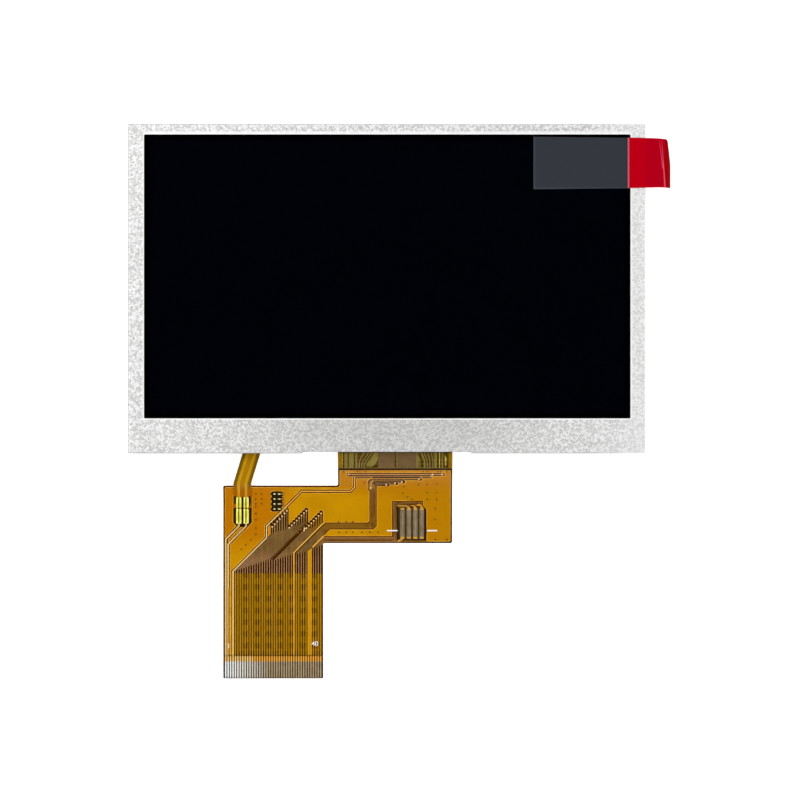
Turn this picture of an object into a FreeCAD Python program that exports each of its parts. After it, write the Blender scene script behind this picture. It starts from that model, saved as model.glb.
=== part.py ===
import FreeCAD, Part
import math
import os

# A 4.3 inch wide-format TFT display module, lying on its back with its flex circuit laid out flat.
# Millimetres. The origin is the centre of the outline on the rear face. +Z is the viewing side,
# +X is right and +Y is the top of the picture, so the flex circuit leaves towards -Y.

# Outline of the module and its sheet metal
module_width = 105.5
module_height = 67.2
module_depth = 2.9
bezel_sheet = 0.2
bezel_fold_radius = 0.35
bezel_corner_relief = 0.5
bezel_wall_lift = 0.35
window_left_margin = 3.3
window_right_margin = 3.1
window_top_margin = 2.2
window_bottom_margin = 7.15
window_corner_radius = 0.25
wall_clearance = 0.05
least_fold_radius = 0.05

# Doorways in the lower walls, for the main flex circuit and for the backlight flex
doorway_width = 33.0
doorway_drop = 0.3
doorway_lap = 0.1
notch_width = 0.9
notch_depth = 0.5
notch_radius = 0.2
strip_doorway_gap = 0.7
strip_doorway_height = 0.5
strip_doorway_drop = 0.1

# Snaps between the bezel wall and the rear chassis wall
snap_length = 4.0
snap_height = 0.6
snap_clearance = 0.1
snap_centre_z = 0.85
snap_punch = 0.15
snap_draft = 0.05
snap_count_long = 4
snap_count_short = 2
snap_pitch_long = 24.0
snap_pitch_short = 30.0

# Rear chassis and moulded backlight frame
chassis_sheet = 0.2
chassis_wall_height = 1.4
chassis_fold_radius = 0.25
chassis_corner_relief = 0.8
frame_top_z = 2.4
frame_corner_radius = 0.6
frame_pocket_radius = 0.3
frame_shelf_side = 0.7
frame_shelf_end = 0.5

# Liquid crystal cell
glass_side_inset = 2.35
glass_top_inset = 1.4
glass_bottom_inset = 1.4
glass_thickness = 0.5
glass_clearance = 0.2
ledge_depth = 4.6
polariser_thickness = 0.2
polariser_inset = 0.3
rear_polariser_lap = 0.2
film_thickness = 0.05
film_gap = 0.1

# Backlight
reflector_thickness = 0.1
guide_thickness = 0.6
guide_clearance = 0.1
guide_to_led = 0.05
sheet_thickness = 0.08
sheet_inset = 0.2
sheet_to_led = 1.0
rim_tape_thickness = 0.06
rim_tape_width = 1.6
rim_tape_inset = 0.1
led_count = 10
led_width = 3.8
led_depth = 1.0
led_mouth_depth = 0.3
led_mouth_wall_side = 0.45
led_mouth_wall = 0.12
led_setback = 0.8
led_strip_end_gap = 2.8
led_strip_depth = 2.6

# Flex circuit: layers, counted upwards from the underside of the base film
base_film = 0.1
copper = 0.02
cover_film = 0.03
bond_film = 0.02
stiffener_thickness = 0.18
rear_copper = 0.02

# Flex circuit: outline, with drops counted from the lower edge of the bezel
neck_width = 23.4
neck_centre_x = 1.7
neck_bond_depth = 1.5
bend_length = 10.0
arm_top_drop = 6.65
arm_bottom_drop = 18.5
tail_end_drop = 46.3
tail_left_x = -33.6
tail_edge_margin = 0.5
flex_corner_radius = 0.35
tail_corner_radius = 0.2
stiffener_length = 5.5

# Flex circuit: contact fingers and copper
pin_count = 40
pin_pitch = 0.5
finger_width = 0.34
finger_length = 3.4
finger_setback = 0.1
lead_in_length = 1.1
tail_track = 0.3
band_track = 0.13
comb_track = 0.22
copper_gap = 0.09
tail_lap = 0.2
comb_lap = 0.02
lone_lane = 0.75
pour_margin = 0.2
pour_top_drop = 3.4
least_copper_area = 0.3
via_radius = 0.17
cover_inset = 0.03

# The pins of the tail from the left, grouped by where their tracks go
feed_pins = (0, 1)
guard_pin = 3
left_comb = range(4, 11)
middle_comb = range(11, 19)
lone_pin = 19
right_comb = range(20, 28)
cross_pins = range(29, 34)
touch_pins = range(36, 40)

# The combs: tracks that turn off along a slanting line and rise to vias, each a step higher
turn_slope = 0.36
comb_turn_drop = 24.2
comb_run = 7.57
comb_rise = 0.3
comb_step = 0.32
left_comb_rise = 1.75
left_comb_step = 0.37
right_comb_run = 6.08
right_comb_shift = 0.7
lone_shift = 0.35
lone_run = 5.6

# The cross tracks: over to a riser, up it, and off to vias near the neck
cross_turn_drop = 20.65
cross_turn_step = 0.12
cross_bus_drop = 14.55
cross_bus_pitch = 0.215
riser_left_x = -3.3
riser_pitch = 0.235
riser_corner = 0.5
riser_top_drop = 5.3
riser_top_step = 0.3
cross_ends = (6.9, None, 3.4, 2.0, 0.2)
side_via_drop = 6.8
side_via_shift = 0.18
side_via_pass = 0.36
side_via_half = 0.55

# The touch tracks: over to the touch panel pads, three from above and the last from below
touch_turn_drop = 19.45
touch_turn_step = 0.14
touch_bus_drop = 17.35
touch_bus_pitch = 0.28
touch_riser_x = 1.35
touch_riser_pitch = 0.28
touch_over_height = 1.17

# The guard track, round the combs and up to the neck, and the straight track above it
guard_shift = 0.1
guard_knee_x = -24.72
guard_knee_rise = 2.35
guard_top_drop = 7.85
guard_riser_x = -6.6
guard_corner = 0.85
guard_neck_drop = 4.85
guard_end_x = 9.2
neck_track_drop = 4.35
neck_track_left_x = -8.1
neck_track_right_x = 11.75

# The leads of the neck: wide ones as (distance in from its edge, width), then a fan and two blocks
wide_leads = ((0.35, 0.7), (1.75, 0.42), (2.75, 1.0), (3.65, 0.35))
lead_end_drop = 3.15
lead_setback = 0.1
fan_count = 5
fan_track = 0.22
fan_inset = 4.35
fan_pitch = 0.5
fan_run = 1.9
fan_turn_drop = 2.1
fan_turn_step = 0.35
block_count = 2
block_pitch = 2.6
block_gap = 0.12

# Hatched ground under the tail
hatch_top_drop = 24.7
hatch_columns = 7
hatch_rows = 7
hatch_pitch_x = 2.35
hatch_pitch_y = 2.41
hatch_first_x = 2.35
hatch_first_y = 0.42
hatch_opening = 1.15

# Backlight flex tail, soldered to the arm
strip_width = 3.65
strip_exit_x = -27.8
strip_exit_drop = 0.2
strip_land_x = -29.65
strip_land_drop = 6.2
strip_end_drop = 11.3
strip_bend_radius = 1.0
strip_end_radius = 0.2
strip_film = 0.1
strip_gap = 0.01
strip_track = 0.55
strip_track_setback = 0.15
feed_rise = 0.5
solder_width = 1.1
solder_pitch = 1.5
solder_height = 0.1
upper_pad_length = 2.3
upper_pad_setback = 0.05
lower_pad_length = 3.2
lower_pad_setback = 0.1
solder_window_side = 0.48
solder_window_above = 0.1
solder_window_below = 0.6
solder_window_chamfer = 0.85

# Touch panel pads and test pads on the flex circuit
touch_pad_count = 4
touch_pad_width = 0.92
touch_pad_length = 6.3
touch_pad_pitch = 1.32
touch_pad_left_x = 3.2
touch_pad_top_drop = 11.3
touch_window_side = 0.4
touch_window_end = 0.3
touch_window_chamfer = 0.6
test_pad_columns = 2
test_pad_rows = 4
test_pad_width = 0.7
test_pad_height = 0.6
test_pad_pitch_x = 0.97
test_pad_pitch_y = 1.03
test_pad_left_x = -23.1
test_pad_top_drop = 8.4
test_window_margin = 0.12

# Driver chip and the bead beside it
chip_length = 20.0
chip_depth = 1.0
chip_height = 0.4
bead_radius = 0.22
bead_setback = 0.25

# Pull tab
tab_inward_length = 19.75
tab_top_margin = 0.45
tab_height_left = 10.7
tab_height_right = 10.1
tape_thickness = 0.06
grip_thickness = 0.1
grip_gap = 0.01
grip_reach = 5.33
grip_flat_reach = 1.9
grip_curl_radius = 4.0
grip_curl_degrees = 62.0
grip_slant = 0.75
grip_slant_height = 5.8
grip_corner_radius = 0.8
grip_step_radius = 0.2
grip_step_degrees = 30.0
grip_lap = 0.1

# How far a cut runs on past the faces that it opens, and a reach beyond the whole part
overcut = 1.0
far = 200.0

# Places worked out from the sizes above
half_width = module_width / 2
half_height = module_height / 2
bottom_y = -half_height
bezel_under_z = module_depth - bezel_sheet
window_left_x = window_left_margin - half_width
window_right_x = half_width - window_right_margin
window_top_y = half_height - window_top_margin
window_bottom_y = bottom_y + window_bottom_margin

chassis_half_width = half_width - bezel_sheet - wall_clearance
chassis_half_height = half_height - bezel_sheet - wall_clearance
frame_half_width = chassis_half_width - chassis_sheet - wall_clearance
frame_half_height = chassis_half_height - chassis_sheet - wall_clearance

guide_z = chassis_sheet + reflector_thickness
led_strip_z = guide_z + guide_thickness
rim_tape_z = led_strip_z + 3 * sheet_thickness
rear_polariser_z = rim_tape_z + rim_tape_thickness
tft_z = rear_polariser_z + polariser_thickness
ledge_z = tft_z + glass_thickness
front_polariser_z = ledge_z + glass_thickness
film_z = front_polariser_z + polariser_thickness

glass_half_width = half_width - glass_side_inset
glass_top_y = half_height - glass_top_inset
glass_bottom_y = bottom_y + glass_bottom_inset
filter_bottom_y = glass_bottom_y + ledge_depth
pocket_half_width = glass_half_width + glass_clearance
pocket_top_y = glass_top_y + glass_clearance
pocket_bottom_y = glass_bottom_y - glass_clearance
cavity_half_width = pocket_half_width - frame_shelf_side
cavity_top_y = pocket_top_y - frame_shelf_end
cavity_bottom_y = pocket_bottom_y + frame_shelf_end
guide_half_width = cavity_half_width - guide_clearance
guide_top_y = cavity_top_y - guide_clearance
led_strip_bottom_y = cavity_bottom_y + guide_clearance
led_strip_top_y = led_strip_bottom_y + led_strip_depth
led_strip_half = guide_half_width - led_strip_end_gap
led_pitch = 2 * led_strip_half / led_count
led_front_y = led_strip_bottom_y + led_setback + led_depth
guide_bottom_y = led_front_y + guide_to_led

neck_left_x = neck_centre_x - neck_width / 2
neck_right_x = neck_centre_x + neck_width / 2
neck_start_y = glass_bottom_y + neck_bond_depth
arm_top_y = bottom_y - arm_top_drop
arm_bottom_y = bottom_y - arm_bottom_drop
first_pin_x = tail_left_x + tail_edge_margin
tail_right_x = first_pin_x + (pin_count - 1) * pin_pitch + tail_edge_margin
tail_end_y = bottom_y - tail_end_drop
finger_top_y = tail_end_y + finger_setback + finger_length
track_end_y = finger_top_y + lead_in_length

flex_high_z = ledge_z + bond_film
flex_low_z = stiffener_thickness
bend_drop = flex_high_z - flex_low_z
bend_angle = 2 * math.atan(bend_drop / bend_length)
bend_radius = bend_length / (2 * math.sin(bend_angle))
bend_end_y = bottom_y - bend_length

strip_rest = base_film + copper + cover_film + strip_gap
strip_half = strip_width / 2
strip_end_y = bottom_y - strip_end_drop
touch_angle = math.asin((arm_top_y - bend_end_y) / (bend_radius - strip_rest))
tab_left_x = window_right_x - tab_inward_length

# What each run of a track takes up: the width of its copper and the lane cleared for it
tail_run = (tail_track, pin_pitch + tail_lap)
comb_run_up = (comb_track, pin_pitch + comb_lap)
band_run = (band_track, band_track + 2 * copper_gap)
lone_band_run = (band_track, lone_lane)
guard_run = (comb_track, comb_track + 2 * copper_gap)
feed_run = (tail_track, tail_track + 2 * copper_gap)


def vector(x, y, z=0.0):
    return FreeCAD.Vector(x, y, z)


def box(x0, x1, y0, y1, z0, z1):
    """A block between two corners."""
    return Part.makeBox(x1 - x0, y1 - y0, z1 - z0, vector(x0, y0, z0))


def outline(corners):
    """A closed flat wire through corners (x, y, radius), each turned with a tangent arc."""
    ends = []
    arcs = []
    count = len(corners)
    for i, (x, y, radius) in enumerate(corners):
        here = vector(x, y)
        to_last = vector(*corners[i - 1][:2]) - here
        to_next = vector(*corners[(i + 1) % count][:2]) - here
        to_last.normalize()
        to_next.normalize()
        if radius == 0:
            ends.append((here, here))
            arcs.append(None)
            continue
        half = to_last.getAngle(to_next) / 2
        run = radius / math.tan(half)
        middle = to_last + to_next
        middle.normalize()
        start = here + to_last * run
        end = here + to_next * run
        bulge = here + middle * (radius / math.sin(half) - radius)
        ends.append((start, end))
        arcs.append(Part.Arc(start, bulge, end).toShape())
    edges = []
    for i in range(count):
        if arcs[i]:
            edges.append(arcs[i])
        edges.append(Part.makeLine(ends[i][1], ends[(i + 1) % count][0]))
    return Part.Wire(edges)


def flat_face(corners):
    """A flat face whose corners are given as (x, y) or (x, y, radius)."""
    return Part.Face(outline([(c[0], c[1], c[2] if len(c) > 2 else 0) for c in corners]))


def rectangle(x0, x1, y0, y1, radius=0):
    return flat_face([(x0, y0, radius), (x1, y0, radius), (x1, y1, radius), (x0, y1, radius)])


def plate(face, z0, z1):
    """A flat face given a thickness between two heights."""
    lifted = face.copy()
    lifted.translate(vector(0, 0, z0))
    return lifted.extrude(vector(0, 0, z1 - z0))


def through(face):
    """A flat face drawn out above and below the whole part."""
    return plate(face, -far, far)


def meet(p, along_p, q, along_q):
    """Where the line through p crosses the line through q."""
    cross = along_p.x * along_q.y - along_p.y * along_q.x
    gap = q - p
    return p + along_p * ((gap.x * along_q.y - gap.y * along_q.x) / cross)


def track_face(points, widths):
    """A flat track through points, mitred at each corner, with its own width for each run."""
    places = [vector(*p) for p in points]
    alongs = [(b - a).normalize() for a, b in zip(places, places[1:])]
    sides = [vector(-along.y, along.x) * (width / 2) for along, width in zip(alongs, widths)]
    left = [places[0] + sides[0]]
    right = [places[0] - sides[0]]
    for k in range(1, len(alongs)):
        here = places[k]
        left.append(meet(here + sides[k - 1], alongs[k - 1], here + sides[k], alongs[k]))
        right.append(meet(here - sides[k - 1], alongs[k - 1], here - sides[k], alongs[k]))
    left.append(places[-1] + sides[-1])
    right.append(places[-1] - sides[-1])
    return flat_face([(p.x, p.y) for p in left + right[::-1]])


def via_pad(place, radius):
    """An eight-sided pad."""
    steps = [math.pi / 8 + math.pi / 4 * k for k in range(8)]
    return flat_face([(place[0] + radius * math.cos(a), place[1] + radius * math.sin(a)) for a in steps])


def ribbon(start_y, start_z, runs, low, high, x0, x1):
    """A film that runs towards -Y along lines and arcs, between two heights above its path.

    Each run is (length,) for a straight or (radius, angle) for an arc, down if the angle is negative.
    """
    heading = 0.0
    y, z = start_y, start_z
    lower, upper = [], []

    def point(py, pz, angle, offset):
        return vector(x0, py + math.sin(angle) * offset, pz + math.cos(angle) * offset)

    for run in runs:
        if len(run) == 1:
            next_y = y - run[0] * math.cos(heading)
            next_z = z + run[0] * math.sin(heading)
            for side, offset in ((lower, low), (upper, high)):
                a = point(y, z, heading, offset)
                b = point(next_y, next_z, heading, offset)
                side.append(Part.makeLine(a, b))
            y, z = next_y, next_z
            continue
        radius, angle = run
        turn = 1 if angle > 0 else -1
        centre_y = y + turn * radius * math.sin(heading)
        centre_z = z + turn * radius * math.cos(heading)
        ahead = heading + angle
        middle = heading + angle / 2

        def on_arc(at):
            return centre_y - turn * radius * math.sin(at), centre_z - turn * radius * math.cos(at)

        for side, offset in ((lower, low), (upper, high)):
            places = [point(*on_arc(at), at, offset) for at in (heading, middle, ahead)]
            side.append(Part.Arc(*places).toShape())
        y, z = on_arc(ahead)
        heading = ahead
    first = Part.makeLine(lower[0].firstVertex(True).Point, upper[0].firstVertex(True).Point)
    last = Part.makeLine(lower[-1].lastVertex(True).Point, upper[-1].lastVertex(True).Point)
    wire = Part.Wire(Part.__sortEdges__(lower + [last] + upper + [first]))
    return Part.Face(wire).extrude(vector(x1 - x0, 0, 0))


def flex_layer(low, high):
    """The full-width path of the flex circuit between two of its layer heights."""
    runs = [
        (neck_start_y - bottom_y,),
        (bend_radius, -bend_angle),
        (bend_radius, bend_angle),
        (bend_end_y - tail_end_y + overcut,),
    ]
    reach = abs(tail_left_x) + neck_right_x
    return ribbon(neck_start_y, flex_high_z, runs, low, high, -reach, reach)


def laid_on_flex(faces, low, high):
    """Flat faces laid into a layer of the flex circuit, bent with it."""
    layer = flex_layer(low, high)
    solids = []
    for face in faces:
        solids += layer.common(through(face)).Solids
    return Part.makeCompound(solids)


def one_solid(shape):
    """The single solid of a shape, for a piece that is cut from one sheet."""
    return shape.Solids[0] if len(shape.Solids) == 1 else shape


# Bezel, chassis and frame


def folded_tray(half_w, half_h, z_open, z_shut, sheet, fold_radius, relief):
    """Sheet metal folded on four sides, open at z_open, with relief at the corners."""
    low, high = sorted((z_open, z_shut))
    shell = box(-half_w, half_w, -half_h, half_h, low, high)
    shut_edges = [e for e in shell.Edges if abs(e.CenterOfMass.z - z_shut) < 1e-6]
    shell = shell.makeFillet(fold_radius, shut_edges)
    inner_w = half_w - sheet
    inner_h = half_h - sheet
    step = sheet if z_shut > z_open else -sheet
    inner = box(-inner_w, inner_w, -inner_h, inner_h, *sorted((z_open - step, z_shut - step)))
    inner_edges = [e for e in inner.Edges if abs(e.CenterOfMass.z - (z_shut - step)) < 1e-6]
    inner = inner.makeFillet(max(fold_radius - sheet, least_fold_radius), inner_edges)
    shell = shell.cut(inner)
    bend_z = z_shut - math.copysign(fold_radius, step)
    for side_x in (-1, 1):
        for side_y in (-1, 1):
            xs = sorted((side_x * half_w, side_x * (half_w - relief)))
            ys = sorted((side_y * half_h, side_y * (half_h - relief)))
            shell = shell.cut(box(*xs, *ys, *sorted((z_open - step, bend_z))))
    return shell


def snap_places():
    """The middle of each snap: (x, y, runs along x)."""
    places = []
    for i in range(snap_count_long):
        along = (i - (snap_count_long - 1) / 2) * snap_pitch_long
        places.append((along, half_height, True))
        if abs(along) - snap_length > doorway_width / 2:
            places.append((along, -half_height, True))
    for i in range(snap_count_short):
        along = (i - (snap_count_short - 1) / 2) * snap_pitch_short
        places.append((half_width, along, False))
        places.append((-half_width, along, False))
    return places


def snap_block(place, inner, outer, shrink):
    """A block across a wall at one snap, between two depths counted inwards from the outline."""
    x, y, along_x = place
    side = math.copysign(1, y if along_x else x)
    half = snap_length / 2 - shrink
    low = snap_centre_z - snap_height / 2 + shrink
    high = snap_centre_z + snap_height / 2 - shrink
    if along_x:
        ys = sorted((y - side * inner, y - side * outer))
        return box(x - half, x + half, *ys, low, high)
    xs = sorted((x - side * inner, x - side * outer))
    return box(*xs, y - half, y + half, low, high)


def strip_doorway(z0, z1, y0, y1):
    """The way out of the backlight flex tail through the lower walls."""
    reach = strip_half + strip_doorway_gap
    return box(strip_exit_x - reach, strip_exit_x + reach, y0, y1, z0, z1)


def flex_doorway(z0, z1, y0, y1):
    """The way out of the main flex circuit through the lower walls."""
    return box(-doorway_width / 2, doorway_width / 2, y0, y1, z0, z1)


def front_bezel():
    """The plated steel front bezel, stamped from one sheet and folded back on four sides."""
    bezel = folded_tray(half_width, half_height, bezel_wall_lift, module_depth, bezel_sheet,
                        bezel_fold_radius, bezel_corner_relief)
    window = rectangle(window_left_x, window_right_x, window_bottom_y, window_top_y, window_corner_radius)
    bezel = bezel.cut(plate(window, bezel_under_z - overcut, module_depth + overcut))
    lip_y = bottom_y + bezel_fold_radius
    bezel = bezel.cut(flex_doorway(-overcut, module_depth + overcut, bottom_y - overcut, lip_y))
    half = notch_width / 2
    for side in (-1, 1):
        x = side * (doorway_width / 2 + half - doorway_lap)
        notch = rectangle(x - half, x + half, bottom_y - overcut, bottom_y + notch_depth, notch_radius)
        bezel = bezel.cut(through(notch))
    bezel = bezel.cut(strip_doorway(-overcut, led_strip_z + strip_doorway_height, bottom_y - overcut,
                                    bottom_y + bezel_sheet + wall_clearance))
    for place in snap_places():
        bezel = bezel.cut(snap_block(place, -wall_clearance, bezel_sheet + wall_clearance, 0))
    return one_solid(bezel)


def rear_chassis():
    """The steel tray behind the backlight, with half-punched bosses that sit in the bezel's windows."""
    tray = folded_tray(chassis_half_width, chassis_half_height, chassis_wall_height, 0, chassis_sheet,
                       chassis_fold_radius, chassis_corner_relief)
    inner_face = bezel_sheet + wall_clearance + chassis_sheet
    for place in snap_places():
        tray = tray.fuse(snap_block(place, bezel_sheet - snap_punch, bezel_sheet + wall_clearance,
                                    snap_clearance))
        tray = tray.cut(snap_block(place, inner_face - snap_punch, inner_face,
                                   snap_clearance + snap_draft))
    tray = tray.cut(strip_doorway(led_strip_z - strip_doorway_drop, chassis_wall_height + overcut,
                                  bottom_y, bottom_y + overcut))
    return one_solid(tray.removeSplitter())


def backlight_frame():
    """The white moulded frame: a cavity for the light guide below a pocket for the glass."""
    outer = rectangle(-frame_half_width, frame_half_width, -frame_half_height, frame_half_height,
                      frame_corner_radius)
    frame = plate(outer, chassis_sheet, frame_top_z)
    cavity = rectangle(-cavity_half_width, cavity_half_width, cavity_bottom_y, cavity_top_y,
                       frame_pocket_radius)
    pocket = rectangle(-pocket_half_width, pocket_half_width, pocket_bottom_y, pocket_top_y,
                       frame_pocket_radius)
    top_z = frame_top_z + overcut
    frame = frame.cut(plate(cavity, 0, top_z))
    frame = frame.cut(plate(pocket, rim_tape_z, top_z))
    frame = frame.cut(strip_doorway(led_strip_z - strip_doorway_drop, top_z, bottom_y,
                                    pocket_bottom_y + overcut))
    frame = frame.cut(flex_doorway(ledge_z - doorway_drop, top_z, bottom_y, pocket_bottom_y + doorway_lap))
    return one_solid(frame)


# Backlight


def reflector_sheet():
    """The silvered film on the floor of the tray."""
    face = rectangle(-guide_half_width, guide_half_width, led_strip_bottom_y, guide_top_y)
    return plate(face, chassis_sheet, guide_z)


def light_guide():
    """The clear acrylic plate that spreads the light of the row of diodes."""
    return box(-guide_half_width, guide_half_width, guide_bottom_y, guide_top_y, guide_z, led_strip_z)


def optical_sheet(order):
    """One loose sheet of the stack on the light guide."""
    half = guide_half_width - sheet_inset
    face = rectangle(-half, half, guide_bottom_y + sheet_to_led, guide_top_y - sheet_inset)
    z0 = led_strip_z + order * sheet_thickness
    return plate(face, z0, z0 + sheet_thickness)


def rim_tape():
    """The black tape frame that holds the glass on the shelf and hides the edge of the sheets."""
    outer = rectangle(-pocket_half_width + rim_tape_inset, pocket_half_width - rim_tape_inset,
                      pocket_bottom_y + rim_tape_inset, pocket_top_y - rim_tape_inset)
    inner = rectangle(-guide_half_width + rim_tape_width, guide_half_width - rim_tape_width,
                      guide_bottom_y + rim_tape_width, guide_top_y - rim_tape_width)
    return plate(outer.cut(inner).Faces[0], rim_tape_z, rim_tape_z + rim_tape_thickness)


def backlight_leds():
    """The side-firing white diodes, a row soldered under the backlight flex."""
    diodes = []
    half = led_width / 2
    mouth_half = half - led_mouth_wall_side
    for i in range(led_count):
        x = (i - (led_count - 1) / 2) * led_pitch
        body = box(x - half, x + half, led_front_y - led_depth, led_front_y, guide_z, led_strip_z)
        mouth = box(x - mouth_half, x + mouth_half, led_front_y - led_mouth_depth, led_front_y,
                    guide_z + led_mouth_wall, led_strip_z - led_mouth_wall)
        diodes.append(body.cut(mouth))
    return Part.makeCompound(diodes)


def strip_face():
    """The outline of the backlight flex tail, seen from above."""
    exit_y = bottom_y - strip_exit_drop
    land_y = bottom_y - strip_land_drop
    inside_y = led_strip_bottom_y + led_strip_depth / 2
    return flat_face([
        (strip_exit_x - strip_half, inside_y),
        (strip_exit_x - strip_half, exit_y),
        (strip_land_x - strip_half, land_y, strip_bend_radius),
        (strip_land_x - strip_half, strip_end_y, strip_end_radius),
        (strip_land_x + strip_half, strip_end_y, strip_end_radius),
        (strip_land_x + strip_half, land_y, strip_bend_radius),
        (strip_exit_x + strip_half, exit_y),
        (strip_exit_x + strip_half, inside_y),
    ])


def strip_layer(low, high):
    """The path of the backlight flex: level out of the module, then down onto the arm."""
    path_radius = bend_radius - strip_rest
    touch_y = bend_end_y + path_radius * math.sin(touch_angle)
    touch_z = flex_low_z + bend_radius - path_radius * math.cos(touch_angle)
    dip_radius = (led_strip_z - touch_z) / (1 - math.cos(touch_angle))
    dip_y = touch_y + dip_radius * math.sin(touch_angle)
    runs = [
        (led_strip_top_y - dip_y,),
        (dip_radius, -touch_angle),
        (path_radius, touch_angle),
        (bend_end_y - strip_end_y + overcut,),
    ]
    return ribbon(led_strip_top_y, led_strip_z, runs, low, high, -led_strip_half, led_strip_half)


def led_flex():
    """The backlight flex: a strip over the diodes and a tail that leads out to the main flex."""
    bar = box(-led_strip_half, led_strip_half, led_strip_bottom_y, led_strip_top_y, led_strip_z,
              led_strip_z + strip_film)
    tail = strip_layer(0, strip_film).common(through(strip_face()))
    return one_solid(bar.fuse(tail).removeSplitter())


def led_flex_tracks():
    """The two feed tracks on the backlight flex tail."""
    exit_y = bottom_y - strip_exit_drop
    land_y = bottom_y - strip_land_drop
    start_y = led_strip_bottom_y + strip_track_setback
    end_y = strip_end_y + strip_track_setback
    layer = strip_layer(strip_film, strip_film + copper)
    tracks = []
    for side in (-1, 1):
        shift = side * solder_pitch / 2
        points = [(strip_exit_x + shift, start_y), (strip_exit_x + shift, exit_y),
                  (strip_land_x + shift, land_y), (strip_land_x + shift, end_y)]
        face = track_face(points, [strip_track] * 3)
        tracks += layer.common(through(face)).Solids
    return Part.makeCompound(tracks)


# Liquid crystal cell


def cell_sheet(lower_edge_y, inset, z0, thickness):
    half = glass_half_width - inset
    return box(-half, half, lower_edge_y + inset, glass_top_y - inset, z0, z0 + thickness)


def rear_polariser():
    return cell_sheet(guide_bottom_y - rear_polariser_lap, polariser_inset, rear_polariser_z,
                      polariser_thickness)


def tft_glass():
    """The lower glass, with the ledge that carries the driver chip and the flex circuit."""
    return cell_sheet(glass_bottom_y, 0, tft_z, glass_thickness)


def colour_filter_glass():
    return cell_sheet(filter_bottom_y, 0, ledge_z, glass_thickness)


def front_polariser():
    return cell_sheet(filter_bottom_y, polariser_inset, front_polariser_z, polariser_thickness)


def protective_film():
    """The thin film over the picture area, which is peeled off by its tab."""
    face = rectangle(window_left_x + film_gap, window_right_x - film_gap, window_bottom_y + film_gap,
                     window_top_y - film_gap, window_corner_radius)
    return plate(face, film_z, film_z + film_thickness)


def driver_chip():
    """The bare driver chip, bonded face down on the ledge."""
    centre_y = (filter_bottom_y + neck_start_y) / 2
    half_x = chip_length / 2
    half_y = chip_depth / 2
    return box(neck_centre_x - half_x, neck_centre_x + half_x, centre_y - half_y, centre_y + half_y,
               ledge_z, ledge_z + chip_height)


def ledge_sealant():
    """The bead of sealant along the start of the flex circuit on the ledge."""
    start = vector(neck_left_x, neck_start_y + bead_setback, ledge_z)
    bead = Part.makeCylinder(bead_radius, neck_width, start, vector(1, 0, 0))
    return bead.common(box(-far, far, -far, far, ledge_z, module_depth))


# Flex circuit


def flex_face(inset=0.0):
    """The outline of the main flex circuit, seen from above."""
    r = flex_corner_radius
    t = tail_corner_radius
    return flat_face([
        (neck_left_x + inset, neck_start_y),
        (neck_left_x + inset, arm_top_y - inset, r),
        (tail_left_x + inset, arm_top_y - inset, r),
        (tail_left_x + inset, tail_end_y + inset, t),
        (tail_right_x - inset, tail_end_y + inset, t),
        (tail_right_x - inset, arm_bottom_y + inset, r),
        (neck_right_x - inset, arm_bottom_y + inset, r),
        (neck_right_x - inset, neck_start_y),
    ])


def pin_x(i):
    return first_pin_x + i * pin_pitch


def pin_turn_y(i):
    """Where a track of the tail turns off towards its comb, along one slanting line."""
    return bottom_y - comb_turn_drop + turn_slope * (pin_x(i) - pin_x(left_comb[0]))


def comb_path(i, turn_y, run, rise):
    """A track that goes up the tail, slants off and rises to its via."""
    x = pin_x(i)
    bend_x = x + run
    bend_y = turn_y + run
    return [(x, track_end_y), (x, turn_y), (bend_x, bend_y), (bend_x, bend_y + rise)]


def comb_paths():
    """The three combs of tracks that end in vias: left, middle and right."""
    paths = []
    for k, i in enumerate(left_comb):
        paths.append(comb_path(i, pin_turn_y(i), comb_run, left_comb_rise + left_comb_step * k))
    for k, i in enumerate(middle_comb):
        paths.append(comb_path(i, pin_turn_y(i), comb_run, comb_rise + comb_step * k))
    for k, i in enumerate(right_comb):
        turn_y = pin_turn_y(i) - right_comb_shift
        paths.append(comb_path(i, turn_y, right_comb_run, comb_rise + comb_step * k))
    return paths


def lone_path():
    """The single track between the middle and the right comb."""
    x = pin_x(lone_pin)
    turn_y = pin_turn_y(lone_pin) - lone_shift
    return [(x, track_end_y), (x, turn_y), (x + lone_run, turn_y + lone_run)]


def cross_paths():
    """Five tracks that cross to the riser: one ends beside it, the others step off near the neck."""
    paths = []
    side_y = bottom_y - side_via_drop
    for k, i in enumerate(cross_pins):
        x = pin_x(i)
        turn_y = bottom_y - cross_turn_drop + k * cross_turn_step
        bus_y = bottom_y - cross_bus_drop - k * cross_bus_pitch
        riser_x = riser_left_x + k * riser_pitch
        top_y = bottom_y - riser_top_drop - k * riser_top_step
        path = [(x, track_end_y), (x, turn_y), (x + bus_y - turn_y, bus_y),
                (riser_x - riser_corner, bus_y), (riser_x, bus_y + riser_corner)]
        if cross_ends[k] is None:
            via_x = riser_x - side_via_shift
            path += [(riser_x, side_y - side_via_half), (via_x, side_y - side_via_half + side_via_shift),
                     (via_x, side_y)]
            paths.append(path)
            continue
        if k == 0:
            pass_x = riser_x - side_via_pass
            path += [(riser_x, side_y - side_via_half - side_via_pass), (pass_x, side_y - side_via_half)]
            riser_x = pass_x
        lift = side_via_half if k == 0 else riser_top_step
        path += [(riser_x, top_y - lift), (riser_x + lift, top_y), (cross_ends[k], top_y)]
        paths.append(path)
    return paths


def touch_pad_x(k):
    return touch_pad_left_x + k * touch_pad_pitch


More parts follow.
